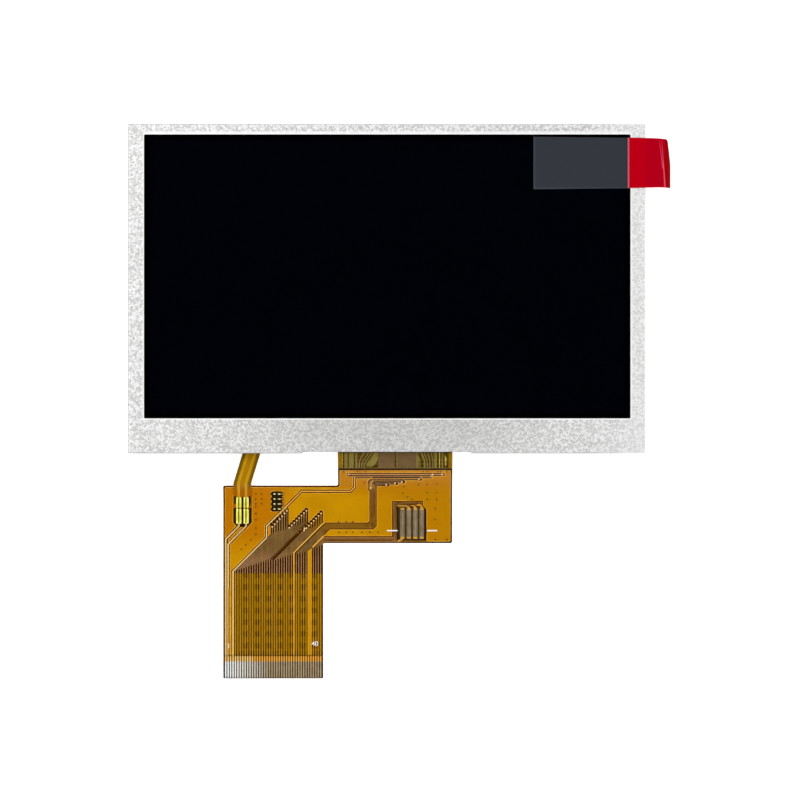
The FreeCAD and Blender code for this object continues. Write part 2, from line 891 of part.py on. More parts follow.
def touch_paths():
    """Four tracks to the touch panel pads: three from above and one from below."""
    pad_top = bottom_y - touch_pad_top_drop
    paths = []
    for k, i in enumerate(touch_pins):
        x = pin_x(i)
        turn_y = bottom_y - touch_turn_drop + k * touch_turn_step
        bus_y = bottom_y - touch_bus_drop - k * touch_bus_pitch
        end_x = touch_pad_x(touch_pad_count - 1 - k)
        path = [(x, track_end_y), (x, turn_y), (x + bus_y - turn_y, bus_y)]
        if i == touch_pins[-1]:
            path += [(end_x, bus_y), (end_x, pad_top - touch_pad_length)]
        else:
            riser_x = touch_riser_x + k * touch_riser_pitch
            over_y = pad_top + touch_over_height - k * touch_riser_pitch
            path += [(riser_x, bus_y), (riser_x, over_y), (end_x, over_y), (end_x, pad_top)]
        paths.append(path)
    return paths


def feed_paths():
    """The two wide tracks from the backlight solder pads to the first two pins."""
    pad_y = strip_end_y - lower_pad_length
    top_y = pad_y - feed_rise
    paths = []
    for i, side in zip(feed_pins, (-1, 1)):
        x = pin_x(i)
        top_x = strip_land_x + side * solder_pitch / 2
        paths.append([(x, track_end_y), (x, top_y - (top_x - x)), (top_x, top_y), (top_x, pad_y)])
    return paths


def guard_path():
    """The long track that runs round the outside of the combs up to the neck."""
    x = pin_x(guard_pin)
    turn_y = pin_turn_y(guard_pin) + guard_shift
    knee_y = turn_y + guard_knee_x - x
    lift_y = knee_y + guard_knee_rise
    top_y = bottom_y - guard_top_drop
    neck_y = bottom_y - guard_neck_drop
    return [(x, track_end_y), (x, turn_y), (guard_knee_x, knee_y), (guard_knee_x, lift_y),
            (guard_knee_x + top_y - lift_y, top_y), (guard_riser_x - guard_corner, top_y),
            (guard_riser_x, top_y + guard_corner), (guard_riser_x, neck_y), (guard_end_x, neck_y)]


def neck_path():
    """The straight track across the top of the ground copper."""
    y = bottom_y - neck_track_drop
    return [(neck_track_left_x, y), (neck_track_right_x, y)]


def track_table():
    """Every signal track: its points, and the copper and lane of each of its runs."""
    table = [(path, [tail_run, band_run, comb_run_up]) for path in comb_paths()]
    table.append((lone_path(), [tail_run, lone_band_run]))
    for path in cross_paths() + touch_paths():
        table.append((path, [tail_run] + [band_run] * (len(path) - 2)))
    for path in feed_paths():
        table.append((path, [tail_run, feed_run, feed_run]))
    table.append((guard_path(), [tail_run] + [guard_run] * (len(guard_path()) - 2)))
    table.append((neck_path(), [guard_run]))
    return table


def via_places():
    """The end of each track that drops through a via to the rear copper."""
    return [path[-1] for path in comb_paths() + [lone_path()] + cross_paths()]


def flex_signal_tracks():
    """The signal copper: a track for each pin that isn't ground, with a via pad at its end."""
    ends = via_places()
    faces = []
    for path, runs in track_table():
        face = track_face(path, [width for width, lane in runs])
        if path[-1] in ends:
            face = face.fuse(via_pad(path[-1], via_radius)).removeSplitter().Faces[0]
        faces.append(face)
    return laid_on_flex(faces, base_film, base_film + copper)


def solder_window():
    """The opening in the cover film round the backlight solder pads."""
    reach = solder_pitch / 2 + solder_width / 2 + solder_window_side
    x0 = strip_land_x - reach
    x1 = strip_land_x + reach
    y0 = strip_end_y - lower_pad_length - solder_window_below
    y1 = strip_end_y + upper_pad_length + solder_window_above
    cut = solder_window_chamfer
    return flat_face([(x0, y1), (x1, y1), (x1, y0 + cut), (x1 - cut, y0), (x0 + cut, y0), (x0, y0 + cut)])


def touch_window():
    """The opening in the cover film round the touch panel pads."""
    reach = touch_pad_width / 2 + touch_window_side
    x0 = touch_pad_x(0) - reach
    x1 = touch_pad_x(touch_pad_count - 1) + reach
    y1 = bottom_y - touch_pad_top_drop + touch_window_end
    y0 = bottom_y - touch_pad_top_drop - touch_pad_length - touch_window_end
    cut = touch_window_chamfer
    return flat_face([(x0, y0), (x1, y0), (x1, y1 - cut), (x1 - cut, y1), (x0, y1)])


def test_pad_places():
    top_y = bottom_y - test_pad_top_drop
    return [(test_pad_left_x + column * test_pad_pitch_x, top_y - row * test_pad_pitch_y)
            for column in range(test_pad_columns) for row in range(test_pad_rows)]


def test_window():
    """The opening in the cover film round the test pads."""
    first = test_pad_places()[0]
    last = test_pad_places()[-1]
    reach_x = test_pad_width / 2 + test_window_margin
    reach_y = test_pad_height / 2 + test_window_margin
    return rectangle(first[0] - reach_x, last[0] + reach_x, last[1] - reach_y, first[1] + reach_y)


def bare_edges():
    """The two edges of the tail, where no ground copper runs beside the outer tracks."""
    left_turn_y = feed_paths()[0][1][1]
    right_turn_y = touch_paths()[-1][1][1]
    return [rectangle(tail_left_x, pin_x(0), track_end_y, left_turn_y),
            rectangle(pin_x(pin_count - 1), tail_right_x, track_end_y, right_turn_y)]


def flex_ground_copper():
    """The ground copper: the flex outline less every track, window and their gaps."""
    ground = flex_face(pour_margin).common(rectangle(-far, far, track_end_y, bottom_y - pour_top_drop))
    lanes = [track_face(path, [lane for width, lane in runs]) for path, runs in track_table()]
    lanes += [via_pad(place, via_radius + copper_gap) for place in via_places()]
    lanes += bare_edges() + [solder_window(), touch_window(), test_window()]
    faces = [face for face in ground.cut(lanes).Faces if face.Area > least_copper_area]
    return laid_on_flex(faces, base_film, base_film + copper)


def flex_film():
    """The polyimide base film of the main flex circuit."""
    return one_solid(laid_on_flex([flex_face()], 0, base_film))


def flex_cover_film():
    """The cover film over the copper, open at the pads and short of the contact fingers."""
    cover = flex_face(cover_inset).common(rectangle(-far, far, finger_top_y, bottom_y + doorway_drop))
    cover = cover.cut([solder_window(), touch_window(), test_window()])
    return one_solid(laid_on_flex(cover.Faces, base_film + copper, base_film + copper + cover_film))


def flex_bond_leads():
    """The copper leads of the neck, fanning in to the row under the driver chip."""
    leads = []
    low_y = bottom_y - lead_end_drop
    high_y = neck_start_y + lead_setback
    for side in (-1, 1):
        for inset, width in wide_leads:
            x = neck_centre_x + side * (neck_width / 2 - inset)
            leads.append(rectangle(x - width / 2, x + width / 2, low_y, high_y))
        for k in range(fan_count):
            foot_x = neck_centre_x + side * (neck_width / 2 - fan_inset - fan_pitch * k)
            head_x = foot_x - side * fan_run
            turn_y = bottom_y - fan_turn_drop + fan_turn_step * k
            points = [(foot_x, low_y), (foot_x, turn_y), (head_x, turn_y + fan_run), (head_x, high_y)]
            leads.append(track_face(points, [fan_track] * 3))
    half = (block_pitch - block_gap) / 2
    for k in range(block_count):
        x = neck_centre_x + (k - (block_count - 1) / 2) * block_pitch
        leads.append(rectangle(x - half, x + half, low_y, high_y))
    return laid_on_flex(leads, base_film, base_film + copper)


def flex_rear_ground():
    """The hatched ground copper under the tail, open at its top edge as the hatch falls."""
    x0 = pin_x(left_comb[0]) - pin_pitch / 2
    x1 = tail_right_x - pour_margin
    y0 = tail_end_y + stiffener_length + copper_gap
    y1 = bottom_y - hatch_top_drop
    half = hatch_opening / 2
    holes = []
    for i in range(hatch_columns):
        for j in range(hatch_rows):
            x = x0 + hatch_first_x + i * hatch_pitch_x
            y = y1 - hatch_first_y - j * hatch_pitch_y
            holes.append(rectangle(x - half, x + half, y - half, y + half))
    ground = rectangle(x0, x1, y0, y1).cut(holes)
    return plate(ground.Faces[0], flex_low_z - rear_copper, flex_low_z)


def flex_stiffener():
    """The stiffener under the contact end, which brings it to the connector's thickness."""
    face = rectangle(tail_left_x, tail_right_x, tail_end_y, tail_end_y + stiffener_length, tail_corner_radius)
    return plate(face, flex_low_z - stiffener_thickness, flex_low_z)


def contact_fingers():
    """The plated fingers that go into the connector, each with its lead-in under the cover film."""
    fingers = []
    z0 = flex_low_z + base_film
    half = finger_width / 2
    for i in range(pin_count):
        face = rectangle(pin_x(i) - half, pin_x(i) + half, tail_end_y + finger_setback, track_end_y)
        fingers.append(plate(face, z0, z0 + copper))
    return Part.makeCompound(fingers)


def touch_panel_pads():
    """The four plated bars that a touch panel's own flex is soldered to."""
    y1 = bottom_y - touch_pad_top_drop
    half = touch_pad_width / 2
    faces = []
    for k in range(touch_pad_count):
        x = touch_pad_x(k)
        faces.append(rectangle(x - half, x + half, y1 - touch_pad_length, y1))
    return laid_on_flex(faces, base_film, base_film + copper)


def test_pads():
    """The small plated pads beside the backlight tail."""
    half_x = test_pad_width / 2
    half_y = test_pad_height / 2
    faces = [rectangle(x - half_x, x + half_x, y - half_y, y + half_y) for x, y in test_pad_places()]
    return laid_on_flex(faces, base_film, base_film + copper)


def solder_pads():
    """The tinned pads that join the backlight tail to the main flex: two above, two below."""
    upper = strip_layer(strip_film + copper, strip_film + copper + solder_height)
    half = solder_width / 2
    z0 = flex_low_z + base_film
    pads = []
    for side in (-1, 1):
        x = strip_land_x + side * solder_pitch / 2
        top = rectangle(x - half, x + half, strip_end_y + upper_pad_setback, strip_end_y + upper_pad_length)
        pads += upper.common(through(top)).Solids
        foot = rectangle(x - half, x + half, strip_end_y - lower_pad_length,
                         strip_end_y - lower_pad_setback)
        pads.append(plate(foot, z0, z0 + copper + cover_film + strip_film + solder_height))
    return Part.makeCompound(pads)


def flex_bond():
    """The conductive film that bonds the flex circuit to the ledge."""
    face = rectangle(neck_left_x, neck_right_x, glass_bottom_y + wall_clearance, neck_start_y)
    return plate(face, ledge_z, ledge_z + bond_film)


# Pull tab


def grip_layer(low, high):
    """The path of the grip: up the step onto the bezel, along it and down past its edge."""
    tape_top = film_z + film_thickness + tape_thickness
    rise = module_depth + grip_gap - tape_top
    climb = math.radians(grip_step_degrees)
    slope = (rise - 2 * grip_step_radius * (1 - math.cos(climb))) / math.sin(climb)
    step_run = 2 * grip_step_radius * math.sin(climb) + slope * math.cos(climb)
    start_x = window_right_x - step_run - grip_lap
    curl = math.radians(grip_curl_degrees)
    runs = [
        (grip_lap,),
        (grip_step_radius, climb),
        (slope,),
        (grip_step_radius, -climb),
        (window_right_margin + grip_flat_reach,),
        (grip_curl_radius, -curl),
    ]
    layer = ribbon(-start_x, tape_top, runs, low, high, -far, far)
    layer.rotate(vector(0, 0), vector(0, 0, 1), 90)
    return layer


def tab_face(x0, x1):
    """The outline of the tab from above, narrowing to the right, where the grip's upper end is cut back."""
    middle = window_top_y - tab_top_margin - tab_height_left / 2
    run = half_width + grip_reach - tab_left_x

    def half_at(x):
        return (tab_height_left + (tab_height_right - tab_height_left) * (x - tab_left_x) / run) / 2

    low = [(x0, middle - half_at(x0)), (x1, middle - half_at(x1))]
    if x1 < half_width:
        return flat_face(low + [(x1, middle + half_at(x1)), (x0, middle + half_at(x0))])
    top_y = middle + half_at(x1)
    return flat_face(low + [(x1, top_y - grip_slant_height), (x1 - grip_slant, top_y, grip_corner_radius),
                            (x0, middle + half_at(x0))])


def pull_tab_tape():
    """The clear tape stuck on the protective film."""
    face = tab_face(tab_left_x, window_right_x - film_gap)
    return plate(face, film_z + film_thickness, film_z + film_thickness + tape_thickness)


def pull_tab_grip():
    """The red grip: laid on the tape, over the bezel and curling down past its edge."""
    face = tab_face(window_right_x - overcut, half_width + grip_reach)
    return one_solid(grip_layer(0, grip_thickness).common(through(face)))


PIECES = {
    "front_bezel": front_bezel,
    "rear_chassis": rear_chassis,
    "backlight_frame": backlight_frame,
    "reflector_sheet": reflector_sheet,
    "light_guide": light_guide,
    "diffuser_sheet": lambda: optical_sheet(0),
    "prism_sheet_lower": lambda: optical_sheet(1),
    "prism_sheet_upper": lambda: optical_sheet(2),
    "rim_tape": rim_tape,
    "backlight_leds": backlight_leds,
    "led_flex": led_flex,
    "led_flex_tracks": led_flex_tracks,
    "rear_polariser": rear_polariser,
    "tft_glass": tft_glass,
    "colour_filter_glass": colour_filter_glass,
    "front_polariser": front_polariser,
    "protective_film": protective_film,
    "driver_chip": driver_chip,
    "ledge_sealant": ledge_sealant,
    "flex_bond": flex_bond,
    "flex_film": flex_film,
    "flex_bond_leads": flex_bond_leads,
    "flex_ground_copper": flex_ground_copper,
    "flex_signal_tracks": flex_signal_tracks,
    "flex_cover_film": flex_cover_film,
    "flex_rear_ground": flex_rear_ground,
    "flex_stiffener": flex_stiffener,
    "contact_fingers": contact_fingers,
    "touch_panel_pads": touch_panel_pads,
    "test_pads": test_pads,
    "solder_pads": solder_pads,
    "pull_tab_tape": pull_tab_tape,
    "pull_tab_grip": pull_tab_grip,
}

os.makedirs("parts", exist_ok=True)
for name, make in PIECES.items():
    shape = make()
    shape.exportStep("parts/" + name + ".step")
    size = shape.BoundBox
    print(name, len(shape.Solids), shape.isValid(), round(shape.Volume, 3),
          [round(v, 2) for v in (size.XMin, size.XMax, size.YMin, size.YMax, size.ZMin, size.ZMax)])
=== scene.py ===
# %% [markdown]
# A display module on a white bench, seen from straight above: a folded steel bezel round a black
# picture area, a flex circuit laid out flat below it, and a red tab that peels off the film.
# The solid model is already exact, so it is loaded as it is. This lesson gives it finishes, and adds
# the fine things that lie on it. Everything is in metres, in the solid model's own frame.

# %% Load the solid model
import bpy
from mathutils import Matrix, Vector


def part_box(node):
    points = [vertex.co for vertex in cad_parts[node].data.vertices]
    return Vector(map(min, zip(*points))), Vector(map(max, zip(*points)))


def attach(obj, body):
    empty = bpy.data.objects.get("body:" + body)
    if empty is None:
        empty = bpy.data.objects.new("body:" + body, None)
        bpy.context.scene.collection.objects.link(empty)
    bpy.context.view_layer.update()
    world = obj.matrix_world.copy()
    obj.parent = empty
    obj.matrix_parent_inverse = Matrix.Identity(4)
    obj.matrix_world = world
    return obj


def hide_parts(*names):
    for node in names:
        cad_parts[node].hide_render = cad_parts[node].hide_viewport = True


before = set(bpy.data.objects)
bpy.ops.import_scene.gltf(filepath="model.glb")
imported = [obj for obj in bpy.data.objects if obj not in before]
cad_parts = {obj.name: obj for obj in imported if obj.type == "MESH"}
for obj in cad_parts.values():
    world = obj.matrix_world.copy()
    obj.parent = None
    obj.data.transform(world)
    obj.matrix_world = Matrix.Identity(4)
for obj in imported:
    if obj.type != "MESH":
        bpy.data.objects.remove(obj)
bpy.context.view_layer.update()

import math
import bmesh
import bpy
from mathutils import Vector
from mathutils.bvhtree import BVHTree

scene = bpy.context.scene
print("nodes:", len(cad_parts))

# %% [markdown]
# Sizes are easiest to read in millimetres, so one value turns them into Blender's metres. A pattern's
# scale is a number of grains to a metre, so it is worked out from the real size of one grain. Colours
# are picked as sRGB hex values, as a paint chart has them, and one function turns them to linear.

# %% Helpers for sizes and colours
MM = 0.001


def per_metre(grain_mm):
    """How many grains of that size fit in a metre: the scale of a pattern."""
    return 1000 / grain_mm


def linear(hex_colour):
    """An sRGB hex colour as the linear numbers that a shader takes."""
    shares = [int(hex_colour[i:i + 2], 16) / 255 for i in (1, 3, 5)]
    return [c / 12.92 if c <= 0.04045 else ((c + 0.055) / 1.055) ** 2.4 for c in shares] + [1.0]


print("mid grey is", round(linear("#808080")[0], 3), "in linear light")

# %% [markdown]
# Every finish here is built from shader nodes. One small function adds a node, sets its inputs and
# its options, and hands back the node, so that a material reads as a short list of what is mixed.
# Most surfaces of a display are smooth films whose colour drifts a little from place to place, so one
# starting point serves them all: two near colours over a soft noise, which may also lift the surface.

# %% Helpers for materials


def add_node(tree, kind, inputs=None, **options):
    """Adds a node. Each input is set to a value, or linked if it is another node's output."""
    node = tree.nodes.new(kind)
    for name, value in options.items():
        setattr(node, name, value)
    for name, value in (inputs or {}).items():
        if isinstance(value, bpy.types.NodeSocket):
            tree.links.new(value, node.inputs[name])
        else:
            node.inputs[name].default_value = value
    return node


def new_material(name, colour, roughness, metallic=0.0, sockets=None):
    """A plain material, its node tree and its shader."""
    material = bpy.data.materials.new(name)
    material.use_nodes = True
    shader = material.node_tree.nodes["Principled BSDF"]
    values = {"Base Color": linear(colour), "Roughness": roughness, "Metallic": metallic}
    for socket, value in {**values, **(sockets or {})}.items():
        shader.inputs[socket].default_value = value
    return material, material.node_tree, shader


def grained(name, light, dark, grain_mm, roughness, metallic=0.0, bump_mm=0.0, sockets=None):
    """A material whose colour drifts between two, over a soft grain that may also lift its surface."""
    material, tree, shader = new_material(name, light, roughness, metallic, sockets)
    place = add_node(tree, "ShaderNodeTexCoord").outputs["Object"]
    grain = add_node(tree, "ShaderNodeTexNoise",
                     {"Vector": place, "Scale": per_metre(grain_mm), "Detail": 4.0}).outputs["Fac"]
    share = add_node(tree, "ShaderNodeMapRange", {"Value": grain, "From Min": 0.35, "From Max": 0.65})
    colour = add_node(tree, "ShaderNodeMix", {0: share.outputs[0], 6: linear(light), 7: linear(dark)},
                      data_type="RGBA")
    tree.links.new(colour.outputs[2], shader.inputs["Base Color"])
    if bump_mm:
        bump = add_node(tree, "ShaderNodeBump", {"Height": grain, "Distance": bump_mm * MM, "Strength": 1.0})
        tree.links.new(bump.outputs[0], shader.inputs["Normal"])
    return material, tree, shader


def dress(material, *nodes):
    """Gives CAD nodes a material, through the slots that they have."""
    for name in nodes:
        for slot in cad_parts[name].material_slots:
            slot.material = material
    print(material.name, "on", ", ".join(nodes))


# %% [markdown]
# Some finishes change from one part of a piece to another: copper looks orange over one kind of film
# and olive over another. A soft-edged rectangle, worked out from a point's own place on the object,
# says where each begins. It is fixed to the object, so it looks the same from any side. Most finishes
# below are a grained material and a short list of such rectangles.

# %% Helpers for a finish that changes over a piece


def inside(tree, low_mm, high_mm, soft_mm):
    """A number that is 1 inside a rectangle seen from above and 0 outside, with soft edges."""
    place = add_node(tree, "ShaderNodeTexCoord").outputs["Object"]
    middle = [(a + b) / 2 * MM for a, b in zip(low_mm, high_mm)] + [0]
    half = [(b - a) / 2 * MM for a, b in zip(low_mm, high_mm)] + [0]
    offset = add_node(tree, "ShaderNodeVectorMath", {0: place, 1: middle}, operation="SUBTRACT").outputs[0]
    away = add_node(tree, "ShaderNodeVectorMath", {0: offset}, operation="ABSOLUTE").outputs[0]
    inward = add_node(tree, "ShaderNodeVectorMath", {0: half, 1: away}, operation="SUBTRACT").outputs[0]
    soft = soft_mm * MM / 2
    share = add_node(tree, "ShaderNodeMapRange",
                     {"Vector": inward, "From Min": (-soft,) * 3, "From Max": (soft,) * 3},
                     data_type="FLOAT_VECTOR").outputs["Vector"]
    sides = add_node(tree, "ShaderNodeSeparateXYZ", {0: share}).outputs
    return add_node(tree, "ShaderNodeMath", {0: sides["X"], 1: sides["Y"]}, operation="MULTIPLY").outputs[0]


def tint(tree, shader, share, colour):
    """Blends another colour over the shader's own, as far as the share says."""
    below = shader.inputs["Base Color"].links[0].from_socket
    blend = add_node(tree, "ShaderNodeMix", {0: share, 6: below, 7: linear(colour)}, data_type="RGBA")
    tree.links.new(blend.outputs[2], shader.inputs["Base Color"])


def tint_regions(tree, shader, regions):
    """Tints rectangles: low corner, high corner and softness in mm, colour, and how strongly at most."""
    for low_mm, high_mm, soft_mm, colour, *strength in regions:
        share = inside(tree, low_mm, high_mm, soft_mm)
        if strength:
            share = add_node(tree, "ShaderNodeMath", {0: share, 1: strength[0]},
                             operation="MULTIPLY").outputs[0]
        tint(tree, shader, share, colour)


def finish(*look, tints=(), **options):
    """A grained material, with rectangles of other colours over it where it has them."""
    material, tree, shader = grained(*look, **options)
    tint_regions(tree, shader, tints)
    return material


# %% [markdown]
# A piece that this script makes is a mesh of its own. It rides on the module's one body, so it would
# follow if the module were moved. It may also stand for a solid of the model, which is then hidden.

# %% Helper for new pieces
SHARP_OVER = math.radians(60)


def new_piece(name, mesh, material, stands_for=None, smooth=False):
    """Puts a mesh in the scene, riding on the module."""
    data = bpy.data.meshes.new(name)
    mesh.to_mesh(data)
    mesh.free()
    data.materials.append(material)
    if smooth:
        data.shade_smooth()
        data.set_sharp_from_angle(angle=SHARP_OVER)
    piece = bpy.data.objects.new(name, data)
    scene.collection.objects.link(piece)
    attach(piece, "root")
    if stands_for:
        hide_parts(stands_for)
    print(name, "has", len(data.polygons), "faces")
    return piece


# %% [markdown]
# The camera looks straight down, as the photograph does. One pixel of the photograph is about a fifth
# of a millimetre on the bezel, so at 300 mm above it the view is 163 mm wide, which sets the lens.

# %% Camera
CAMERA_HEIGHT = 300 * MM
PIXELS = 800
PIXELS_PER_MM = 4.91
VIEW_CENTRE = (2.70 * MM, -22.7 * MM)

bezel_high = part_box("front_bezel")[1]
camera_data = bpy.data.cameras.new("camera")
camera_data.sensor_fit = "HORIZONTAL"
camera_data.lens = camera_data.sensor_width * CAMERA_HEIGHT / (PIXELS / PIXELS_PER_MM * MM)
camera_data.clip_start = 0.01
camera = bpy.data.objects.new("camera", camera_data)
camera.location = (*VIEW_CENTRE, bezel_high.z + CAMERA_HEIGHT)
scene.collection.objects.link(camera)
scene.camera = camera
print("lens", round(camera_data.lens, 1), "mm")

# %% [markdown]
# The bench is a light table: a sheet of white acrylic that also glows a little from below, which is
# how catalogue pictures get a background with no shadow. Over it stands a white tent, as a product
# photographer puts over small shiny things: soft light from all round, with a dark opening at the top
# for the lens. The black screen mirrors only that opening, so it stays black, while rough steel beside
# it gathers light from the whole tent. A soft lamp at the upper left gives the light some direction.

# %% Bench and light
TENT_LIGHT = 1.28
TABLE_GLOW = 0.6
OPENING_EDGE = (0.80, 0.92)
BENCH_SIDE = 3.0
BENCH_BELOW = 0.02
LAMP_SIDE = 0.26
LAMP_WATTS = 0.5
LAMP_PLACE = (-0.32, 0.18, 0.36)
LAMP_AIM = (0, -0.02, 0)
bench_material = new_material("white_acrylic_table", "#F8F8F8", 0.9,
                              sockets={"Emission Strength": TABLE_GLOW})[0]
bpy.ops.mesh.primitive_plane_add(size=BENCH_SIDE, location=(0, 0, -BENCH_BELOW * MM))
bench = bpy.context.object
bench.name = "bench"
bench.data.materials.append(bench_material)

world = bpy.data.worlds.new("light_tent")
scene.world = world
world.use_nodes = True
tree = world.node_tree
upward = add_node(tree, "ShaderNodeSeparateXYZ",
                  {0: add_node(tree, "ShaderNodeTexCoord").outputs["Generated"]}).outputs["Z"]
cloth = add_node(tree, "ShaderNodeMapRange",
                 {"Value": upward, "From Min": OPENING_EDGE[0], "From Max": OPENING_EDGE[1],
                  "To Min": TENT_LIGHT, "To Max": 0.0})
tree.links.new(cloth.outputs[0], tree.nodes["Background"].inputs["Strength"])
tree.nodes["Background"].inputs["Color"].default_value = linear("#FFFFFF")

lamp_data = bpy.data.lights.new("soft_lamp", "AREA")
lamp_data.shape = "RECTANGLE"
lamp_data.size = LAMP_SIDE
lamp_data.size_y = LAMP_SIDE
lamp_data.energy = LAMP_WATTS
lamp = bpy.data.objects.new("soft_lamp", lamp_data)
lamp.location = LAMP_PLACE
lamp.rotation_euler = (Vector(LAMP_AIM) - lamp.location).to_track_quat("-Z", "Y").to_euler()
scene.collection.objects.link(lamp)
scene.view_settings.view_transform = "Standard"
print("tent light", TENT_LIGHT)

# %% [markdown]
# The bezel and the tray behind it are electro-galvanised sheet steel: dull, pale, and covered with
# zinc crystals far below a millimetre, each tilted its own way. A cell pattern gives every crystal its
# own brightness, a noise bends the cells first, because real crystals are ragged, and a finer noise
# stands for the frost on each one. The crystals are drawn about twice their real size, or they would
# be lost in the render. Over the folds a painted shade makes the steel greyer, the further its surface
# turns from straight up. A painted shade also darkens the middle of the lower border, and a painted
# highlight lightens the right-hand border.

# %% Galvanised steel
SPANGLE = 0.34
SPANGLE_RAGGED = 0.28
FROST = 0.18
STROKE = 0.45
# A painted shade over the middle of the lower border and a painted highlight over the right-hand border.
STEEL_PAINTED_SHADE_AND_LIGHT = (((-24, -36), (26, -20), 22, "#ACABA9", 0.45),
               ((46, -40), (80, 60), 8, "#FFFFFF", 0.35))


def galvanised_steel():
    """Zinc-coated sheet steel with fine spangle."""
    material, tree, shader = new_material("galvanised_steel", "#D8D9D7", 0.55, 0.55)
    coordinates = add_node(tree, "ShaderNodeTexCoord").outputs
    place = coordinates["Object"]
    bend = add_node(tree, "ShaderNodeTexNoise",
                    {"Vector": place, "Scale": per_metre(SPANGLE_RAGGED), "Detail": 3.0}).outputs["Color"]
    centred = add_node(tree, "ShaderNodeVectorMath", {0: bend, 1: (0.5, 0.5, 0.5)},
                       operation="SUBTRACT").outputs[0]
    ragged = add_node(tree, "ShaderNodeVectorMath", {0: centred, 1: (SPANGLE * MM,) * 3, 2: place},
                      operation="MULTIPLY_ADD").outputs[0]
    crystals = add_node(tree, "ShaderNodeTexVoronoi",
                        {"Vector": ragged, "Scale": per_metre(SPANGLE)}).outputs["Color"]
    crystal = add_node(tree, "ShaderNodeSeparateXYZ", {0: crystals}).outputs["X"]
    frost = add_node(tree, "ShaderNodeTexNoise",
                     {"Vector": place, "Scale": per_metre(FROST), "Detail": 2.0}).outputs["Fac"]
    mixed = add_node(tree, "ShaderNodeMath", {0: crystal, 1: frost}, operation="ADD").outputs[0]
    share = add_node(tree, "ShaderNodeMapRange", {"Value": mixed, "From Min": 0.66, "From Max": 1.34})
    colour = add_node(tree, "ShaderNodeMix",
                      {0: share.outputs[0], 6: linear("#D2D1D0"), 7: linear("#FFFFFF")}, data_type="RGBA")
    tree.links.new(colour.outputs[2], shader.inputs["Base Color"])
    strokes = add_node(tree, "ShaderNodeTexNoise",
                       {"Vector": ragged, "Scale": per_metre(STROKE), "Detail": 4.0, "Distortion": 1.5})
    dark = add_node(tree, "ShaderNodeMapRange", {"Value": strokes.outputs["Fac"], "From Min": 0.58,
                                                 "From Max": 0.68, "To Max": 0.6})
    tint(tree, shader, dark.outputs[0], "#A9A8A7")
    # Painted shade on the folds: the further the surface turns from straight up, the greyer it is painted.
    upright = add_node(tree, "ShaderNodeSeparateXYZ", {0: coordinates["Normal"]}).outputs["Z"]
    fold_shade = add_node(tree, "ShaderNodeMapRange", {"Value": upright, "From Min": 0.95, "From Max": 0.75})
    tint(tree, shader, fold_shade.outputs[0], "#8E8F8D")
    bump = add_node(tree, "ShaderNodeBump", {"Height": mixed, "Distance": 0.01 * MM, "Strength": 1.0})
    tree.links.new(bump.outputs[0], shader.inputs["Normal"])
    return material, tree, shader


steel, tree, shader = galvanised_steel()
tint_regions(tree, shader, STEEL_PAINTED_SHADE_AND_LIGHT)
dress(steel, "front_bezel", "rear_chassis")

# %% [markdown]
# Round the window a narrow painted highlight stands for the light on the sheared edge, wider above
# and at the right than at the other sides. On the real bezel that edge is part of the sheet. A flat
# ring, laid a hundredth above the sheet, shows it without touching the solid, and its corners follow
# the window's own rounding.

# %% Painted highlight on the edge of the window
EDGE_LEFT_BELOW = (0.25, 0.25)
EDGE_RIGHT_ABOVE = (0.4, 0.6)
EDGE_HEIGHT = 0.006
FILM_GAP = 0.1
WINDOW_CORNER = 0.25


def rounded_loop(low, high, radius, steps=6):
    """The corners of a rectangle, each rounded with a few points, anticlockwise."""
    points = []
    for i, (x, y) in enumerate(((high.x, high.y), (low.x, high.y), (low.x, low.y), (high.x, low.y))):
        centre_x = x - math.copysign(radius, x - (low.x + high.x) / 2)
        centre_y = y - math.copysign(radius, y - (low.y + high.y) / 2)
        for k in range(steps + 1):
            angle = math.pi / 2 * (i + k / steps)
            points.append((centre_x + radius * math.cos(angle), centre_y + radius * math.sin(angle)))
    return points


def ring_between(inner, outer, z):
    """A flat ring between two loops of as many points."""
    mesh = bmesh.new()
    inside_edge = [mesh.verts.new((x, y, z)) for x, y in inner]
    outside_edge = [mesh.verts.new((x, y, z)) for x, y in outer]
    for i in range(len(inner)):
        j = (i + 1) % len(inner)
        mesh.faces.new((inside_edge[i], outside_edge[i], outside_edge[j], inside_edge[j]))
    return mesh


film_low, film_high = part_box("protective_film")
gap = Vector((FILM_GAP, FILM_GAP, 0)) * MM
low_reach = gap + Vector((*EDGE_LEFT_BELOW, 0)) * MM
high_reach = gap + Vector((*EDGE_RIGHT_ABOVE, 0)) * MM
window_loop = rounded_loop(film_low - gap, film_high + gap, WINDOW_CORNER * MM)
outer_loop = rounded_loop(film_low - low_reach, film_high + high_reach, 2 * WINDOW_CORNER * MM)
window_edge_highlight = finish("painted_window_edge_highlight", "#FFFFFF", "#F4F4F2", 0.8, 0.5, 0.2)
window_edge = ring_between(window_loop, outer_loop, bezel_high.z + EDGE_HEIGHT * MM)
new_piece("window_edge", window_edge, window_edge_highlight)

# %% [markdown]
# The picture area is a polariser film over glass, black while the display is off. It is a smooth
# plastic with a hard coat. Along its rim the glass has a printed black frame, and inside it the pixels
# make the black a touch blue. The peel-off film above is clear, so it only adds a gloss of its own.

# %% Black picture area and its film
FRAME_PRINT = 0.9
pixels = ((film_low.x * 1000 + FRAME_PRINT, film_low.y * 1000 + FRAME_PRINT),
          (film_high.x * 1000 - FRAME_PRINT, film_high.y * 1000 - FRAME_PRINT), 0.2, "#030510")
polariser = finish("hard_coated_polariser", "#010001", "#000001", 9.0, 0.1,
                   sockets={"Specular IOR Level": 0.25}, tints=[pixels])
dress(polariser, "front_polariser")
clear_film = finish("clear_peel_film", "#07080C", "#05060A", 6.0, 0.08,
                    sockets={"Alpha": 0.04, "Specular IOR Level": 0.25})
dress(clear_film, "protective_film")

# %% [markdown]
# The peel-off film's tab starts with a strip of clear tape. Over the black it looks slate grey, a
# little paler along its left and lower edges, where it is not quite stuck down.

